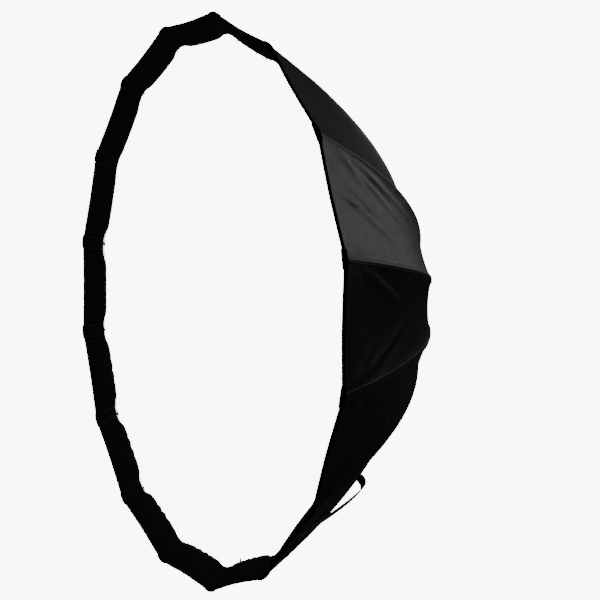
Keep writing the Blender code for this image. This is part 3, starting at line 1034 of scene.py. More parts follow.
def merged(shapes: Sequence[Shape]) -> Shape:
    """Put several bmeshes into one.

    Args:
        shapes: The bmeshes, which are freed.

    Returns:
        The bmesh that holds them all.
    """
    whole = bmesh.new()
    for shape in shapes:
        mesh = bpy.data.meshes.new("part")
        shape.to_mesh(mesh)
        shape.free()
        whole.from_mesh(mesh)
        bpy.data.meshes.remove(mesh)
    return whole


# ---------------------------------------------------------------------------------------------
# Cover
# ---------------------------------------------------------------------------------------------


@dataclass(frozen=True)
class Crease:
    """A fold in a gore that starts near a rib and runs toward the hub."""

    side: int
    start: float
    heading: float
    reach: float
    width: float
    height: float
    bend: float = 0.0
    offset: float = 0.0

    def lift(self, across: float, back: float, half: float) -> float:
        """Height of the fold at a point.

        Args:
            across: Distance from the gore's middle, toward its upper rib.
            back: Distance back from the rim.
            half: Half the gore's width there.

        Returns:
            The height, above or below the cloth.
        """
        out = half - self.side * across - self.offset
        down = back - self.start
        heading = math.radians(self.heading)
        along = out * math.sin(heading) + down * math.cos(heading)
        aside = out * math.cos(heading) - down * math.sin(heading) - self.bend * along * along
        if along <= 0.0 or along >= self.reach or abs(aside) > 4.0 * self.width:
            return 0.0
        grow = eased(along / (0.22 * self.reach)) * eased((self.reach - along) / (0.55 * self.reach))
        ridge = math.exp(-((aside / self.width) ** 2))
        trough = math.exp(-(((aside + 1.6 * self.width) / self.width) ** 2))
        return self.height * grow * (ridge - 0.7 * trough)


@dataclass
class Cover:
    """The sewn bowl: one leaf for each rib, in bands; all but the band at the hub ride on the rib."""

    finishes: Finishes
    hem: Piece
    bowl: Bowl = BOWL
    borders: tuple[float, ...] = (0.0838, 0.120, 0.170, 0.220, 0.270, 0.320, 0.370, 0.425)
    spacing: float = 0.0058
    border_row: float = 0.0008
    thick: float = 0.0007
    seam_columns: tuple[float, ...] = (0.0, 0.0010, 0.0022, 0.0036, 0.0046, 0.0064)
    seam_height: float = 0.0011
    sag: float = 0.0042
    columns: int = 13
    seam_room: float = 0.020
    seam_flank: tuple[float, float] = (0.0050, 0.0012)
    fold_free: tuple[float, float] = (0.006, 0.010)
    fold_stop: float = 0.014
    sag_side: float = 0.012
    sag_rim: float = 0.12
    hub_calm: float = 0.10
    creases: dict[int, list[Crease]] = field(default_factory=dict)

    def __post_init__(self) -> None:
        """Settle the folds of every gore: the pulled ones at the side panels, and loose ones all round."""
        for gore in range(1, self.bowl.ribs + 1):
            self.creases[gore] = self.loose_creases(gore)
        self.creases[1] = [
            Crease(1, 0.008, 5.0, 0.330, 0.0036, 0.0019, 0.02, 0.004),
            Crease(1, 0.010, 12.0, 0.280, 0.0042, 0.0018, 0.02, 0.006),
            Crease(1, 0.012, 22.0, 0.150, 0.0042, 0.0015),
            Crease(1, 0.004, 9.0, 0.220, 0.0048, 0.0018, 0.05, 0.066),
            Crease(-1, 0.012, 10.0, 0.120, 0.0042, 0.0014, 0.10, 0.004),
            Crease(-1, 0.022, 38.0, 0.050, 0.0042, 0.0013, 2.2),
            Crease(-1, 0.046, 60.0, 0.040, 0.0042, 0.0010, 3.0, 0.010),
        ]
        self.creases[2] = [
            Crease(1, 0.012, 12.0, 0.220, 0.0060, 0.0007, 0.05),
            Crease(-1, 0.014, 9.0, 0.260, 0.0055, 0.0008, 0.04),
        ]
        self.creases[16] = [
            Crease(1, 0.012, 14.0, 0.200, 0.0055, 0.0018, 0.2),
            Crease(1, 0.030, 62.0, 0.045, 0.0055, 0.0011, 2.0, 0.010),
            Crease(-1, 0.014, 16.0, 0.240, 0.0060, 0.0020, 0.1),
            Crease(-1, 0.020, 34.0, 0.110, 0.0070, 0.0013, 0.4),
        ]

    def loose_creases(self, gore: int) -> list[Crease]:
        """Draw a gore's loose folds.

        Args:
            gore: The gore's number, which seeds the draw.

        Returns:
            Its folds.
        """
        draw = random.Random(700 + gore)
        folds = []
        for side in (-1, 1):
            for heading in (draw.uniform(10, 18), draw.uniform(24, 40)):
                folds.append(Crease(
                    side, draw.uniform(0.010, 0.022), heading, draw.uniform(0.11, 0.30),
                    draw.uniform(0.0045, 0.0068), draw.uniform(0.0014, 0.0028), draw.uniform(-0.4, 0.6)))
        for side in (-1, 1):
            folds.append(Crease(
                side, draw.uniform(0.03, 0.20), draw.uniform(50, 110), draw.uniform(0.05, 0.09),
                draw.uniform(0.006, 0.009), draw.uniform(0.0008, 0.0016), 0.0, draw.uniform(0.01, 0.05)))
        return folds

    def lift(self, sector: Sector, across: float, share: float) -> float:
        """Height of the cloth above the flat gore.

        Args:
            sector: The rib's sector.
            across: Distance from the rib.
            share: Place on the corner line.

        Returns:
            The height, with sag, folds and the rib's seam.
        """
        half = self.bowl.half_width(self.bowl.line(share).x)
        back = self.bowl.back(share)
        aside = abs(across)
        gore = sector.index if across >= 0 else (sector.index - 2) % self.bowl.ribs + 1
        from_middle = (aside - half) if across >= 0 else (half - aside)
        free = eased((aside - self.fold_free[0]) / self.fold_free[1]) * eased(back / self.fold_stop)
        near_hub = eased((share - self.bowl.share_of(self.bowl.opening)) / self.hub_calm)
        folds = sum(crease.lift(from_middle, back, half) for crease in self.creases[gore])
        hollow = -self.sag * (1.0 - (from_middle / half) ** 2) * eased(back / self.sag_rim) * near_hub
        seam = self.seam_height * eased((self.seam_flank[0] - aside) / self.seam_flank[1])
        return folds * free * near_hub + hollow * eased(aside / self.sag_side) + seam

    def across_at(self, column: int, half: float) -> float:
        """Distance from the rib of a grid column.

        Args:
            column: The column, from 0 at the lower side.
            half: Half the gore's width.

        Returns:
            The signed distance.
        """
        steps = len(self.seam_columns) + self.columns
        place = column - steps
        index = abs(place)
        side = 1.0 if place >= 0 else -1.0
        room = min(1.0, half / self.seam_room)
        if index < len(self.seam_columns):
            return side * self.seam_columns[index] * room
        seam_end = self.seam_columns[-1] * room
        last = half - self.border_row
        if index == steps:
            return side * half
        share = (index - len(self.seam_columns) + 1) / self.columns
        return side * (seam_end + (last - seam_end) * share)

    def shares(self, first: float, last: float) -> list[float]:
        """Rows of a band, with a thin row at each end.

        Args:
            first: Radius of its hub end.
            last: Radius of its rim end.

        Returns:
            The rows' places on the corner line.
        """
        start, end = self.bowl.share_of(first), self.bowl.share_of(last)
        run = self.bowl.back(start) - self.bowl.back(end)
        count = max(4, round(run / self.spacing))
        thin = self.border_row / run * (end - start)
        inner = [start + thin + (end - start - 2 * thin) * row / count for row in range(count + 1)]
        return [start, *inner, end]

    def build_band(self, sector: Sector, band: int) -> Piece:
        """Build one band of a rib's leaf.

        Args:
            sector: The rib's sector.
            band: The band's number, from 0 at the hub.

        Returns:
            The piece.
        """
        shares = self.shares(self.borders[band], self.borders[band + 1])
        columns = 2 * (len(self.seam_columns) + self.columns)

        def spot(column: int, row: int) -> Spot:
            """Place a grid point on the leaf."""
            share = shares[row]
            line = self.bowl.line(share)
            half = self.bowl.half_width(line.x)
            across = self.across_at(column, half)
            place = sector.point(across, line, self.bowl.outward(share), self.lift(sector, across, share))
            return place, (across, self.bowl.back(share))

        front = sector.ray() - Vector((0.0, -0.6, 0.0))
        name = f"cover_leaf_{sector.name}_{band + 1}"
        piece = cloth_piece(name, columns, len(shares) - 1, spot, front, self.thick)
        self.finishes.dress(piece, "shell_nylon", "shell_lining")
        return piece

    def attach(self, piece: Piece, sector: Sector, band: int) -> None:
        """Put a band on its rib, or bake the band at the hub in place.

        Args:
            piece: The band.
            sector: The rib's sector.
            band: The band's number.
        """
        inner, outer = (self.bowl.line(self.bowl.share_of(radius)) for radius in self.borders[band:band + 2])
        start, end = (sector.point(0.0, spot, STRAIGHT_OUT) for spot in (inner, outer))
        if band == 0:
            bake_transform(piece)
        else:
            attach(piece, sector.body)
            sector.sideways
            self.bowl.kept(inner.x, inner.y)
            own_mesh(piece)
        wide = 2 * self.bowl.half_width(outer.x)
        narrow = 2 * self.bowl.half_width(inner.x)
        run = self.bowl.back(self.bowl.share_of(inner.x)) - self.bowl.back(self.bowl.share_of(outer.x))

    def build(self) -> None:
        """Build every band of every leaf."""
        for sector in SECTORS:
            for band in range(len(self.borders) - 1):
                piece = self.build_band(sector, band)
                self.attach(piece, sector, band)
                if sector.index == 1 and band == len(self.borders) - 2:
                    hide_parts("shell_fabric")
        LOG.info("cover: %d leaves of %d bands", self.bowl.ribs, len(self.borders) - 1)


@dataclass
class Lip:
    """The stiff sloping band around the open face, with a pocket over each rib's tip."""

    finishes: Finishes
    tapes: dict[int, list[Piece]]
    bowl: Bowl = BOWL
    inner_radius: float = 0.3975
    set_back: float = 0.0295
    roll: float = 0.0013
    wrap: float = 0.992
    side_gain: float = 0.0026
    rise: float = 0.0025
    corner_give: tuple[float, ...] = (
        0.003, 0.003, 0.003, 0.001, 0.001, 0.0, -0.0015, 0.0035,
        0.0025, 0.005, 0.005, 0.001, 0.002, 0.003, 0.003, 0.003)
    thick: float = 0.0010
    hem_bend: float = 0.0009
    pocket_stop: float = 0.86
    pocket_half: float = 0.0125
    pocket_back: float = 0.0075
    pocket_rise: float = 0.0005
    crown: float = 0.0008
    crown_ends: tuple[float, float] = (0.004, 0.012)
    pocket_thick: float = 0.0006
    pocket_columns: int = 10
    side_columns: int = 12
    hem_rows: int = 4
    turn_rows: int = 8
    slope_rows: int = 8
    row_length: float = 0.005
    bury: float = 0.0003
    lead_in: float = 0.9
    corner_reach: tuple[float, float] = (0.17, 0.28)
    fold_slack: float = 0.95

    @property
    def slope(self) -> tuple[Vector, Vector, float]:
        """The slope's direction inward, its front normal and its length."""
        rim = self.bowl.line(1.0)
        down = Vector((self.inner_radius, rim.y - self.set_back)) - rim
        length = down.length
        along = down / length
        return along, Vector((along.y, -along.x)), length

    @property
    def pocket_start(self) -> float:
        """Share of the corner line where a pocket begins, from its length behind the rim."""
        rim_run = Vector((self.bowl.rim_radius - self.bowl.hub_radius, 2 * self.bowl.depth)).length
        return 1.0 - self.pocket_back / rim_run

    def section(
        self, start: float, rise: float, extra: float = 0.0, stop: float = 1.0,
    ) -> list[tuple[Vector, Vector]]:
        """Work out the band's section, from the cover's outside over the rim and down the slope.

        Args:
            start: Share of the corner line where it begins.
            rise: Height above the band's own surface.
            extra: Extra length of the slope.
            stop: Share of the slope where it ends.

        Returns:
            For each point its radius and forward distance, and its normal.
        """
        along, front, length = self.slope
        out = self.bowl.outward(1.0)
        centre = self.bowl.line(1.0) - out * self.bury
        reach = self.roll + rise
        count = max(4, round(self.bowl.back(start) / self.row_length))
        path = []
        for step in range(count):
            share = start + (1.0 - start) * step / count
            normal = self.bowl.outward(share)
            height = rise + self.roll * eased(step / 2) * self.lead_in
            path.append((self.bowl.line(share) + normal * height, normal))
        first = math.atan2(out.y, out.x)
        last = math.atan2(front.y, front.x)
        for step in range(self.turn_rows + 1):
            turn = first + (last - first) * step / self.turn_rows
            normal = Vector((math.cos(turn), math.sin(turn)))
            path.append((centre + normal * reach, normal))
        foot = centre + front * reach
        for step in range(1, self.slope_rows + 1):
            path.append((foot + along * ((length + extra) * stop * step / self.slope_rows), front))
        return path

    def cut_length(self, start: float, rise: float, stop: float = 1.0) -> float:
        """Length of cloth along the band's section.

        Args:
            start: Share of the corner line where it begins.
            rise: Height above the band's own surface.
            stop: Share of the slope where it ends.

        Returns:
            The length.
        """
        return run_lengths([point for point, _ in self.section(start, rise, 0.0, stop)])[-1]

    def slope_gain(self, sector: Sector, place: float) -> float:
        """Work out how much longer the slope is than its plain length.

        Args:
            sector: The rib's sector.
            place: Place across the sector, from -1 to 1.

        Returns:
            The extra length, less at a corner and more in the middle of a side.
        """
        away = eased((abs(place) - self.corner_reach[0]) / self.corner_reach[1])
        height = math.sin(sector.angle + place * self.bowl.half_step)
        corner = -self.corner_give[sector.index - 1]
        return corner + (self.side_gain - corner) * away - self.rise * height

    def build_sector(self, sector: Sector) -> Piece:
        """Build the band between the middles of two sides.

        Args:
            sector: The rib's sector.

        Returns:
            The piece.
        """
        rows = len(self.section(self.wrap, 0.0)) - 1 + self.hem_rows
        along, front, _ = self.slope

        def spot(column: int, row: int) -> Spot:
            """Place a grid point on the band."""
            place = (column - self.side_columns) / self.side_columns
            path = self.section(self.wrap, 0.0, self.slope_gain(sector, place))
            index = min(row, len(path) - 1)
            point, normal = path[index]
            distance = run_lengths([item for item, _ in path[:index + 1]])[-1]
            if row >= len(path):
                turn = math.pi * (row - len(path) + 1) / self.hem_rows
                normal = front * math.cos(turn) + along * math.sin(turn)
                point = point - front * self.hem_bend + normal * self.hem_bend
                distance += self.hem_bend * turn
            across = place * self.bowl.half_width(point.x)
            return sector.point(across, point, normal), (across, distance)

        piece = cloth_piece(
            f"lip_panel_{sector.name}", 2 * self.side_columns, rows, spot, FORWARD, self.thick)
        self.finishes.dress(piece, "lip_webbing", "lip_webbing")
        return piece

    def build_pocket(self, sector: Sector) -> Piece:
        """Build the tape pocket that holds the rib's tip.

        Args:
            sector: The rib's sector.

        Returns:
            The piece.
        """
        path = self.section(self.pocket_start, self.pocket_rise, 0.0, self.pocket_stop)
        columns = self.pocket_columns
        lengths = run_lengths([point for point, _ in path])

        def spot(column: int, row: int) -> Spot:
            """Place a grid point on the pocket."""
            place = column / columns * 2.0 - 1.0
            point, normal = path[row]
            left = lengths[-1] - lengths[row]
            ends = eased(lengths[row] / self.crown_ends[0]) * eased(left / self.crown_ends[1])
            lift = self.crown * (1.0 - place ** 2) * ends
            across = place * self.pocket_half
            return sector.point(across, point, normal, lift), (across, lengths[row])

        front = sector.ray() * 0.4 + Vector((0.0, -0.1, 0.0))
        piece = cloth_piece(f"rib_pocket_{sector.name}", columns, len(path) - 1, spot, front, 0.0)
        self.face_out(piece, sector)
        add_wall(piece, self.pocket_thick)
        self.finishes.dress(piece, "pocket_webbing")
        return piece

    def face_out(self, piece: Piece, sector: Sector) -> None:
        """Turn a pocket's faces to its outside, judged at its first row on the cover."""
        mesh = piece.data
        out = self.bowl.outward(0.95)
        away = sector.away(out)
        face = max(mesh.polygons, key=lambda item: item.center.y)
        if face.normal.dot(away) < 0:
            mesh.flip_normals()

    def build(self) -> None:
        """Build every panel and pocket, and put them on their ribs."""
        rim = self.bowl.line(1.0)
        keep = self.bowl.kept(rim.x, rim.y) * self.fold_slack
        wide = 2 * self.bowl.half_width(rim.x)
        narrow = 2 * self.bowl.half_width(self.inner_radius)
        cut = self.cut_length(self.wrap, 0.0) + math.pi * self.hem_bend
        pocket_cut = self.cut_length(self.pocket_start, self.pocket_rise, self.pocket_stop)
        for sector in SECTORS:
            anchor = sector.point(0.0, rim, STRAIGHT_OUT)
            panel = self.build_sector(sector)
            pocket = self.build_pocket(sector)
            for piece in (panel, pocket):
                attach(piece, sector.body)
            sector.sideways
            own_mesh(panel)
            if sector.index == 1:
                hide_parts("lip_band")
        LOG.info("lip: %d panels and %d pockets", self.bowl.ribs, self.bowl.ribs)


@dataclass
class Diffusers:
    """The front diffuser and the smaller inner one, in wedges that meet at the axis."""

    finishes: Finishes
    bowl: Bowl = BOWL
    front_radius: float = 0.4022
    front_set_back: float = 0.0316
    inner_radius: float = 0.200
    inner_forward: float = 0.210
    front_keep: float = 0.12
    inner_keep: float = 0.5
    thick: float = 0.0006
    columns: int = 8
    gathers: tuple[float, float, float] = (0.0009, 9.0, 0.20)
    strap_half: float = 0.0058
    strap_thick: float = 0.0009
    strap_ripple: float = 0.0002
    strap_keep: float = 0.12
    strap_gap: float = 0.0005
    strap_short: float = 0.0015

    def wedge(
        self, name: str, sector: Sector, sides: tuple[float, float], radius: float, forward: float, rows: int,
    ) -> Piece:
        """Build one wedge of a flat diffuser.

        Args:
            name: The piece's name.
            sector: The rib's sector.
            sides: Its limits across, as shares of the half width.
            radius: Its corner radius.
            forward: Its place.
            rows: Faces from the axis outward.

        Returns:
            The piece.
        """
        height, count, border = self.gathers

        def spot(column: int, row: int) -> Spot:
            """Place a grid point on the wedge."""
            place = sides[0] + (sides[1] - sides[0]) * column / self.columns
            share = row / rows
            at = Vector((radius * share, forward))
            across = place * self.bowl.half_width(at.x)
            point = sector.point(across, at, Vector((0.0, 1.0)))
            point.y += height * math.cos(count * math.pi * place) * eased((share - 1.0 + border) / border)
            return point, (point.x, point.z)

        piece = cloth_piece(name, self.columns, rows, spot, FORWARD, self.thick)
        self.finishes.dress(piece, "diffuser_cloth")
        return piece

    def build_front(self) -> None:
        """Build the front diffuser's wedges."""
        forward = self.bowl.line(1.0).y - self.front_set_back
        half = self.bowl.half_width(self.front_radius)
        for sector in SECTORS:
            for side, sides in (("a", (-1.0, 0.0)), ("b", (0.0, 1.0))):
                name = f"front_diffuser_{sector.name}{side}"
                piece = self.wedge(name, sector, sides, self.front_radius, forward, 24)
                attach(piece, "fold_runner")
                turn = (sides[0] + sides[1]) / 2 * self.bowl.half_step
                sector.ray(turn)
                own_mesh(piece)
                if sector.index == 1 and side == "a":
                    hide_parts("front_diffuser")

    def build_inner(self) -> None:
        """Build the inner diffuser's wedges."""
        half = self.bowl.half_width(self.inner_radius)
        for sector in SECTORS:
            name = f"inner_diffuser_{sector.name}"
            piece = self.wedge(name, sector, (-1.0, 1.0), self.inner_radius, self.inner_forward, 10)
            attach(piece, "fold_runner")
            sector.ray()
            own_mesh(piece)
            if sector.index == 1:
                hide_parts("inner_diffuser")

    def build_straps(self) -> None:
        """Build the four elastic straps that hold the inner diffuser."""
        for strap, sector in enumerate(SECTORS[::4], start=1):
            low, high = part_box(f"inner_strap_{strap}")
            reach = max(corner.dot(sector.ray()) for corner in (low, high)) - self.strap_short
            start = self.inner_radius + self.strap_gap
            columns, rows = 6, 24

            def spot(column: int, row: int) -> Spot:
                """Place a grid point on the strap."""
                across = (column / columns * 2.0 - 1.0) * self.strap_half
                along = start + (reach - start) * row / rows
                ripple = self.strap_ripple * math.sin(row * math.pi / 2)
                place = sector.ray() * along + sector.sideways * across
                return Vector((place.x, -self.inner_forward - ripple, place.z)), (across, along)

            name = f"inner_strap_elastic_{strap}"
            piece = cloth_piece(name, columns, rows, spot, FORWARD, self.strap_thick)
            self.finishes.dress(piece, "elastic")
            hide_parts(f"inner_strap_{strap}")
            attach(piece, sector.body)
            anchor = sector.ray() * reach + FORWARD * self.inner_forward
            sector.ray()
            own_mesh(piece)

    def build(self) -> None:
        """Build both diffusers and the straps."""
        self.build_front()
        self.build_inner()
        self.build_straps()
        LOG.info("diffusers: front, inner and four straps")


@dataclass
class Trimmings:
    """Small sewn pieces: the webbing loop, the pull tab, the hanging tapes and the elastic hem."""

    finishes: Finishes
    bowl: Bowl = BOWL
    strap_first: float = 0.975
    strap_last: float = 0.755
    strap_rise: float = 0.0130
    strap_half: float = 0.0085
    strap_peak: float = 0.90
    strap_foot: float = 0.10
    strap_thick: float = 0.0016
    strap_gap: float = 0.0012
    strap_edge: float = 0.0004
    strap_anchor: float = 0.865
    strap_slack: float = 0.8
    tapes: dict[int, list[Piece]] = field(default_factory=dict)
    hem_radius: float = 0.0823
    hem_forward: float = 0.0222
    hem_half: float = 0.0021
    hem_flat: float = 0.62
    hem_pleats: int = 48
    hem_steps: int = 192
    pleat_depth: float = 0.0045
    pleat_from: float = 0.003
    pleat_over: float = 0.004
    pleat_wave: float = 0.0003
    tape_radius: float = 0.3985
    tape_set_back: float = 0.0302
    tape_tuck: float = 0.003
    tape_rise: float = 0.0012
    tape_thick: float = 0.0006
    tab_size: tuple[float, float] = (0.0042, 0.0150)
    end_size: tuple[float, float] = (0.0030, 0.0085)

    def strap_lift(self, place: float) -> float:
        """Height of the webbing loop above the cloth.

        Args:
            place: Place along the strap, from 0 at the rim end to 1.

        Returns:
            The height.
        """
        if place <= self.strap_peak:
            climb = (place - self.strap_foot) / (self.strap_peak - self.strap_foot)
            return self.strap_rise * eased(climb) ** 0.75
        drop = (place - self.strap_peak) / (1.0 - self.strap_peak)
        return self.strap_rise * math.sqrt(max(0.0, 1.0 - drop ** 2))

    def build_strap(self) -> None:
        """Build the webbing loop on its gore."""
        sector = Sector(15)
        turn = -self.bowl.half_step
        ray = sector.ray(turn)
        aside = Vector((-ray.z, 0.0, ray.x))
        flat = math.cos(self.bowl.half_step)
        columns, rows = 8, 48
        path = []
        for row in range(rows + 1):
            place = row / rows
            share = self.strap_first + (self.strap_last - self.strap_first) * place
            line, out = self.bowl.line(share), self.bowl.outward(share)
            spot_at = line + out * (self.strap_lift(place) + self.strap_gap)
            path.append(Vector((spot_at.x * flat, spot_at.y)))
        lengths = run_lengths(path)

        def spot(column: int, row: int) -> Spot:
            """Place a grid point on the loop."""
            across = (column / columns * 2.0 - 1.0) * self.strap_half
            place = ray * path[row].x + aside * across
            return Vector((place.x, -path[row].y, place.z)), (across, lengths[row])

        piece = cloth_piece("webbing_loop", columns, rows, spot, ray + Vector((0.0, 0.6, 0.0)), 0.0)
        add_wall(piece, self.strap_thick, 1.0)
        edge = piece.modifiers.new("edge", "BEVEL")
        edge.width = self.strap_edge
        edge.segments = 1
        edge.limit_method = "ANGLE"
        self.finishes.dress(piece, "strap_webbing")
        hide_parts("tie_strap")
        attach(piece, sector.body)
        middle = path[rows // 2]
        anchor = sector.point(0.0, self.bowl.line(self.strap_anchor), STRAIGHT_OUT)
        sector.sideways
        self.bowl.kept(middle.length, middle.y) * self.strap_slack
        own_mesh(piece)

    def build_tab(self, name: str, degrees: float, size: tuple[float, float], lean: float) -> None:
        """Build a short tape end that shows at the lip's inner edge.

        Args:
            name: The piece's name.
            degrees: Its angle about the axis.
            size: Its width and its length.
            lean: How far it leans sideways, in radians.
        """
        angle = math.radians(degrees)
        sector = SECTORS[(round((angle / self.bowl.half_step + 1) / 2) - 1) % self.bowl.ribs]
        ray = Vector((math.cos(angle), 0.0, math.sin(angle)))
        aside = Vector((-ray.z, 0.0, ray.x))
        inward = -(ray * math.cos(lean)) + aside * math.sin(lean)
        across_way = aside * math.cos(lean) + ray * math.sin(lean)
        lag = abs((angle - sector.angle + math.pi) % (2 * math.pi) - math.pi)
        inside = self.bowl.half_step - min(lag, self.bowl.half_step)
        edge = self.tape_radius * math.cos(self.bowl.half_step) / math.cos(inside)
        forward = self.bowl.line(1.0).y - self.tape_set_back
        columns, rows = 4, 8

        def spot(column: int, row: int) -> Spot:
            """Place a grid point on the tape end."""
            across = (column / columns - 0.5) * size[0]
            along = (row / rows) * size[1] - self.tape_tuck
            place = ray * edge + inward * along + across_way * across
            rise = self.tape_rise * eased(row / rows)
            return Vector((place.x, -forward - rise, place.z)), (across, along)

        piece = cloth_piece(name, columns, rows, spot, FORWARD, self.tape_thick)
        self.finishes.dress(piece, "tab_tape")
        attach(piece, sector.body)
        self.tapes.setdefault(sector.index, []).append(piece)

    def build_hem(self) -> Piece:
        """Build the gathered elastic hem around the hub.

        Returns:
            The piece, which goes with the cover.
        """
        shape = bmesh.new()
        bmesh.ops.create_circle(shape, cap_ends=False, segments=10, radius=self.hem_half)
        bmesh.ops.scale(shape, vec=(1.0, self.hem_flat, 1.0), verts=shape.verts)
        bmesh.ops.translate(shape, vec=(self.hem_radius, -self.hem_forward, 0.0), verts=shape.verts)
        bmesh.ops.spin(
            shape, geom=shape.verts[:] + shape.edges[:], cent=(0, 0, 0), axis=(0, 1, 0), angle=2 * math.pi,
            steps=self.hem_steps, use_merge=True, use_duplicate=False)
        bmesh.ops.remove_doubles(shape, verts=shape.verts, dist=SAME_PLACE)
        layer = shape.loops.layers.uv.new("cloth")
        for vert in shape.verts:
            angle = math.atan2(vert.co.z, vert.co.x)
            radius = math.hypot(vert.co.x, vert.co.z)
            outer = (radius - self.hem_radius + self.pleat_from) / self.pleat_over
            pleat = 1.0 + self.pleat_depth * math.sin(self.hem_pleats * angle) * outer
            vert.co.x *= pleat
            vert.co.z *= pleat
            vert.co.y -= self.pleat_wave * math.sin(self.hem_pleats * angle + 1.2)
        for face in shape.faces:
            for loop in face.loops:
                turn = math.atan2(loop.vert.co.z, loop.vert.co.x)
                loop[layer].uv = (math.hypot(loop.vert.co.x, loop.vert.co.z), turn * self.hem_radius)
        bmesh.ops.recalc_face_normals(shape, faces=shape.faces)
        piece = object_from("elastic_hem", shape)
        self.finishes.dress(piece, "elastic")
        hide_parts("rear_collar")
        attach(piece, "hub")
        return piece

    def build_tapes(self) -> dict[int, list[Piece]]:
        """Build the pull tab and the three tape ends.

        Returns:
            The pieces by the number of the rib whose lip panel they are sewn to.
        """
        self.build_tab("pull_tab", 287.5, self.tab_size, 0.55)
        for number, degrees in enumerate((75.2, 66.5, 62.3), start=1):
            self.build_tab(f"hanging_tape_{number}", degrees, self.end_size, 0.1)
        LOG.info("trimmings: pull tab and three tapes")
        return self.tapes


# ---------------------------------------------------------------------------------------------
# Hub
# ---------------------------------------------------------------------------------------------


@dataclass
class HubDetails:
    """Screws, grip ribs, latch serrations and the finish of every frame part."""

    finishes: Finishes
    head_radius: float = 0.0036
    head_forward: tuple[float, float] = (0.0004, 0.0026)
    hex_width: float = 0.0034
    spring_keep: float = 0.82
    socket_depth: float = 0.0014
    stem_radius: float = 0.0020
    stem_length: float = 0.0112
    grip_starts: tuple[float, float] = (14.0, 194.0)
    grip_count: int = 50
    grip_span: float = 152.0
    ridge_count: int = 4
    ridge_first: float = 0.0095
    ridge_pitch: float = 0.0027
    block_edge: float = 0.0004
    grip_low: tuple[float, float, float] = (0.0835, -0.0185, -0.0011)
    grip_high: tuple[float, float, float] = (0.0848, -0.0085, 0.0011)
    ridge_radii: tuple[float, float] = (0.0902, 0.0912)
    ridge_width: float = 0.0012
    ridge_half: float = 0.0076
    head_edge: float = 0.0005
    head_border: float = 0.0012
    mark_radius: float = 0.0016
    mark_flat: float = 0.3
    mark_height: float = 0.0655

    def build_screw(self, number: int) -> None:
        """Build a socket-head screw in place of the plain one.

        Args:
            number: The screw's number.
        """
        low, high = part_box(f"mount_screw_{number}")
        middle = (low + high) / 2
        shape = bmesh.new()
        depth = self.head_forward[1] - self.head_forward[0]
        bmesh.ops.create_cone(
            shape, cap_ends=True, segments=24, radius1=self.head_radius, radius2=self.head_radius,
            depth=depth)
        top = max(shape.faces, key=lambda face: face.calc_center_median().z)
        bmesh.ops.bevel(
            shape, geom=list(top.edges), offset=self.head_edge, segments=2, profile=0.5, affect="EDGES",
            material=-1)
        top = max(shape.faces, key=lambda face: face.calc_center_median().z + face.calc_area())
        bmesh.ops.inset_region(shape, faces=[top], thickness=self.head_border, depth=0.0)
        sixth = math.pi / 3
        for vert in top.verts:
            angle = math.atan2(vert.co.y, vert.co.x)
            radius = self.hex_width / 2 / math.cos((angle + sixth / 2) % sixth - sixth / 2)
            vert.co.x, vert.co.y = radius * math.cos(angle), radius * math.sin(angle)
        sunk = bmesh.ops.extrude_discrete_faces(shape, faces=[top])["faces"]
        bmesh.ops.translate(shape, vec=(0, 0, -self.socket_depth), verts=sunk[0].verts)
        stem = bmesh.ops.create_cone(
            shape, cap_ends=True, segments=16, radius1=self.stem_radius, radius2=self.stem_radius,
            depth=self.stem_length)
        bmesh.ops.translate(shape, vec=(0, 0, -(depth + self.stem_length) / 2), verts=stem["verts"])
        forward = Matrix.Rotation(-math.pi / 2, 3, "X")
        bmesh.ops.rotate(shape, verts=shape.verts, cent=(0, 0, 0), matrix=forward)
        bmesh.ops.translate(
            shape, vec=(middle.x, -(self.head_forward[0] + depth / 2), middle.z), verts=shape.verts)
        bmesh.ops.recalc_face_normals(shape, faces=shape.faces)
        piece = object_from(f"socket_screw_{number}", shape, 40.0)
        self.finishes.dress(piece, "fastener_steel")
        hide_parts(f"mount_screw_{number}")
        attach(piece, "hub")

    def build_grip(self) -> None:
        """Build the moulded grip ribs around the housing, clear of the two latches."""
        ribs = []
        low, high = Vector(self.grip_low), Vector(self.grip_high)
        for start in self.grip_starts:
            for step in range(self.grip_count):
                degrees = start + step * self.grip_span / (self.grip_count - 1)
                block = bevelled_block(low, high, self.block_edge)
                ribs.append(turn_about_axis(block, math.radians(degrees)))
        piece = object_from("housing_grip", merged(ribs), 40.0)
        self.finishes.dress(piece, "hub_plastic")
        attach(piece, "hub")

    def build_serrations(self) -> None:
        """Build the ridges on the pads of the two latch levers."""
        inner, outer = self.ridge_radii
        for side, angle in (("right", 0.0), ("left", math.pi)):
            ridges = []
            for step in range(self.ridge_count):
                forward = self.ridge_first + self.ridge_pitch * step
                low = Vector((inner, -forward - self.ridge_width, -self.ridge_half))
                high = Vector((outer, -forward, self.ridge_half))
                ridges.append(turn_about_axis(bevelled_block(low, high, self.block_edge), angle))
            piece = object_from(f"latch_ridges_{side}", merged(ridges), 40.0)
            self.finishes.dress(piece, "latch_plastic")
            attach(piece, f"latch_{side}")

    def build_springs(self) -> None:
        """Build the two latch springs on the hub."""
        for side, turn in (("right", 1.0), ("left", -1.0)):
            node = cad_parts[f"latch_spring_{side}"]
            shape = bmesh.new()
            shape.from_mesh(node.data)
            bmesh.ops.transform(shape, matrix=node.matrix_world, verts=shape.verts)
            bmesh.ops.remove_doubles(shape, verts=shape.verts, dist=SAME_PLACE)
            piece = object_from(f"latch_coil_{side}", shape, 60.0)
            self.finishes.dress(piece, "fastener_steel")
            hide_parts(f"latch_spring_{side}")
            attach(piece, "hub")
            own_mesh(piece)

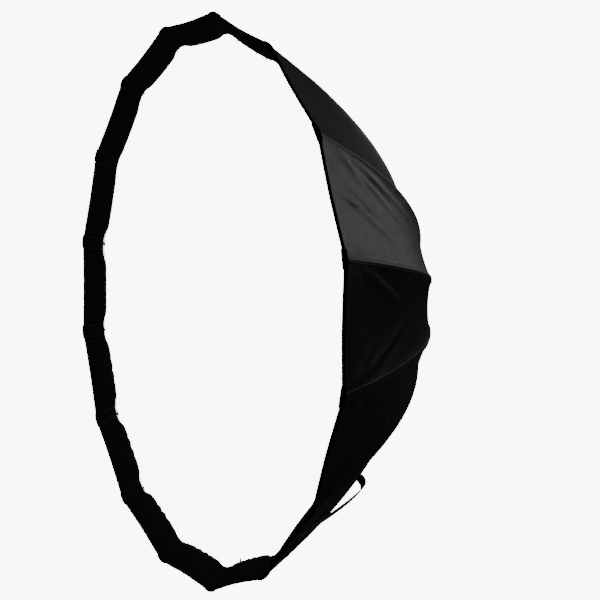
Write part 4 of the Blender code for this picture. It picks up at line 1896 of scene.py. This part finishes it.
    def build_mark(self) -> None:
        """Build the small round setting mark on the mounting ring."""
        shape = bmesh.new()
        bmesh.ops.create_uvsphere(shape, u_segments=20, v_segments=10, radius=self.mark_radius)
        bmesh.ops.scale(shape, vec=(1.0, self.mark_flat, 1.0), verts=shape.verts)
        bmesh.ops.translate(shape, vec=(0.0, 0.0, self.mark_height), verts=shape.verts)
        piece = object_from("setting_mark", shape)
        self.finishes.dress(piece, "mark_paint")
        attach(piece, "hub")

    def dress_frame(self) -> None:
        """Give every shown frame part its finish."""
        finish_of = (
            ("mount_ring", "mount_alloy"), ("mount_screw", "fastener_steel"),
            ("latch_lever", "latch_plastic"), ("latch_", "fastener_steel"),
            ("rib_", "rib_steel"), ("stretcher_", "rib_steel"),
            ("hub_", "hub_plastic"), ("runner_", "hub_plastic"), ("rear_collar", "elastic"),
        )
        for name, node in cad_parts.items():
            found = next((finish for start, finish in finish_of if name.startswith(start)), None)
            if found:
                self.finishes.dress(node, found)

    def build(self) -> None:
        """Build every detail and dress the frame."""
        for number in range(1, 5):
            self.build_screw(number)
        self.build_grip()
        self.build_serrations()
        self.build_springs()
        self.build_mark()
        self.dress_frame()
        LOG.info("hub: screws, grip, latch ridges and setting mark")


# ---------------------------------------------------------------------------------------------
# Studio
# ---------------------------------------------------------------------------------------------


@dataclass(frozen=True)
class Lamp:
    """A soft square light."""

    name: str
    place: tuple[float, float, float]
    aim: tuple[float, float, float]
    size: float
    power: float

    def build(self) -> None:
        """Place the light."""
        data = bpy.data.lights.new(self.name, "AREA")
        data.shape = "SQUARE"
        data.size = self.size
        data.energy = self.power
        made = in_scene(self.name, data)
        made.location = self.place
        way = Vector(self.aim) - Vector(self.place)
        made.rotation_euler = way.to_track_quat("-Z", "Y").to_euler()


@dataclass
class Studio:
    """Plain pale floor, soft light and the camera."""

    floor_height: float = -0.62
    backdrop: float = 9.0
    surround: float = 0.06
    camera_at: tuple[float, float, float] = (1.479, -1.1175, 0.132)
    look: tuple[float, float, float] = (-0.8424, 0.5335, -0.0759)
    upward: tuple[float, float, float] = (-0.0706, 0.0304, 0.9970)
    lens: float = 65.9
    sensor: float = 36.0
    clip: tuple[float, float] = (0.05, 60.0)
    floor_radius: float = 14.0
    floor_tones: tuple[Colour, Colour] = ((0.05, 0.05, 0.05), (0.06, 0.06, 0.06))
    lamps: tuple[Lamp, ...] = (
        Lamp("key_light", (-1.8, -3.0, 1.6), (0.0, -0.2, 0.0), 2.2, 60.0),
        Lamp("fill_light", (2.6, -1.6, 1.8), (0.0, -0.2, 0.0), 2.0, 0.7),
        Lamp("rear_light", (2.2, 3.0, 1.8), (0.0, -0.1, 0.0), 1.6, 60.0),
        Lamp("back_light", (-0.60, 2.53, 0.94), (0.3, -0.2, 0.1), 0.8, 2.2),
    )

    def build_camera(self) -> None:
        """Place the camera."""
        data = bpy.data.cameras.new("view_camera")
        data.lens = self.lens
        data.sensor_width = self.sensor
        data.clip_start, data.clip_end = self.clip
        camera = in_scene("view_camera", data)
        back = -Vector(self.look).normalized()
        right = Vector(self.upward).cross(back).normalized()
        rise = back.cross(right)
        turned = Matrix((right, rise, back)).transposed().to_4x4()
        turned.translation = Vector(self.camera_at)
        camera.matrix_world = turned
        bpy.context.scene.camera = camera

    def show_to_camera(self, wires: Wires, plain: Socket, shown: Socket, end: Socket) -> None:
        """Join a shader that the camera sees, and one for every other ray.

        Args:
            wires: The node tree's wires.
            plain: The shader for every other ray.
            shown: The shader that the camera sees.
            end: The output's socket.
        """
        mixed = wires.add("ShaderNodeMixShader")
        seen = wires.add("ShaderNodeLightPath").outputs["Is Camera Ray"]
        for socket, value in zip(mixed.inputs, (seen, plain, shown)):
            wires.feed(socket, value)
        wires.feed(end, mixed.outputs[0])

    def build_floor(self) -> None:
        """Lay the floor, pale to the camera and dark to every other ray."""
        shape = bmesh.new()
        bmesh.ops.create_circle(shape, cap_ends=True, segments=96, radius=self.floor_radius)
        bmesh.ops.translate(shape, vec=(0, 0, self.floor_height), verts=shape.verts)
        floor = object_from("studio_floor", shape)
        paper = bpy.data.materials.new("floor_paper")
        paper.use_nodes = True
        wires = Wires(paper.node_tree)
        shader = paper.node_tree.nodes["Principled BSDF"]
        place = wires.add("ShaderNodeTexCoord").outputs["Object"]
        tone = wires.tint(wires.noise(place, 3.0), *self.floor_tones)
        wires.feed(shader.inputs["Base Color"], tone)
        shader.inputs["Roughness"].default_value = 0.95
        shader.inputs["Specular IOR Level"].default_value = 0.0
        glow = wires.add("ShaderNodeEmission")
        glow.inputs["Strength"].default_value = self.backdrop
        end = paper.node_tree.nodes["Material Output"].inputs["Surface"]
        self.show_to_camera(wires, shader.outputs[0], glow.outputs[0], end)
        floor.data.materials.append(paper)

    def build_world(self) -> None:
        """Set the plain surround, bright to the camera and dim to every other ray."""
        world = bpy.data.worlds.new("studio")
        world.use_nodes = True
        wires = Wires(world.node_tree)
        seen = world.node_tree.nodes["Background"]
        seen.inputs["Color"].default_value = (1.0, 1.0, 1.0, 1.0)
        seen.inputs["Strength"].default_value = self.backdrop
        dim = wires.add("ShaderNodeBackground")
        dim.inputs["Color"].default_value = (1.0, 1.0, 1.0, 1.0)
        dim.inputs["Strength"].default_value = self.surround
        end = world.node_tree.nodes["World Output"].inputs["Surface"]
        self.show_to_camera(wires, dim.outputs[0], seen.outputs[0], end)
        bpy.context.scene.world = world

    def build(self) -> None:
        """Set up the whole studio."""
        self.build_camera()
        self.build_floor()
        self.build_world()
        for lamp in self.lamps:
            lamp.build()
        LOG.info("studio: camera, floor and %d lights", len(self.lamps))


def main() -> None:
    """Build the softbox's looks in order."""
    logging.basicConfig(level=logging.INFO, format="%(message)s")
    studio = Studio()
    studio.build()
    finishes = Finishes()
    trimmings = Trimmings(finishes)
    Cover(finishes, trimmings.build_hem()).build()
    Lip(finishes, trimmings.build_tapes()).build()
    Diffusers(finishes).build()
    trimmings.build_strap()
    HubDetails(finishes).build()


if __name__ == "__main__":
    main()
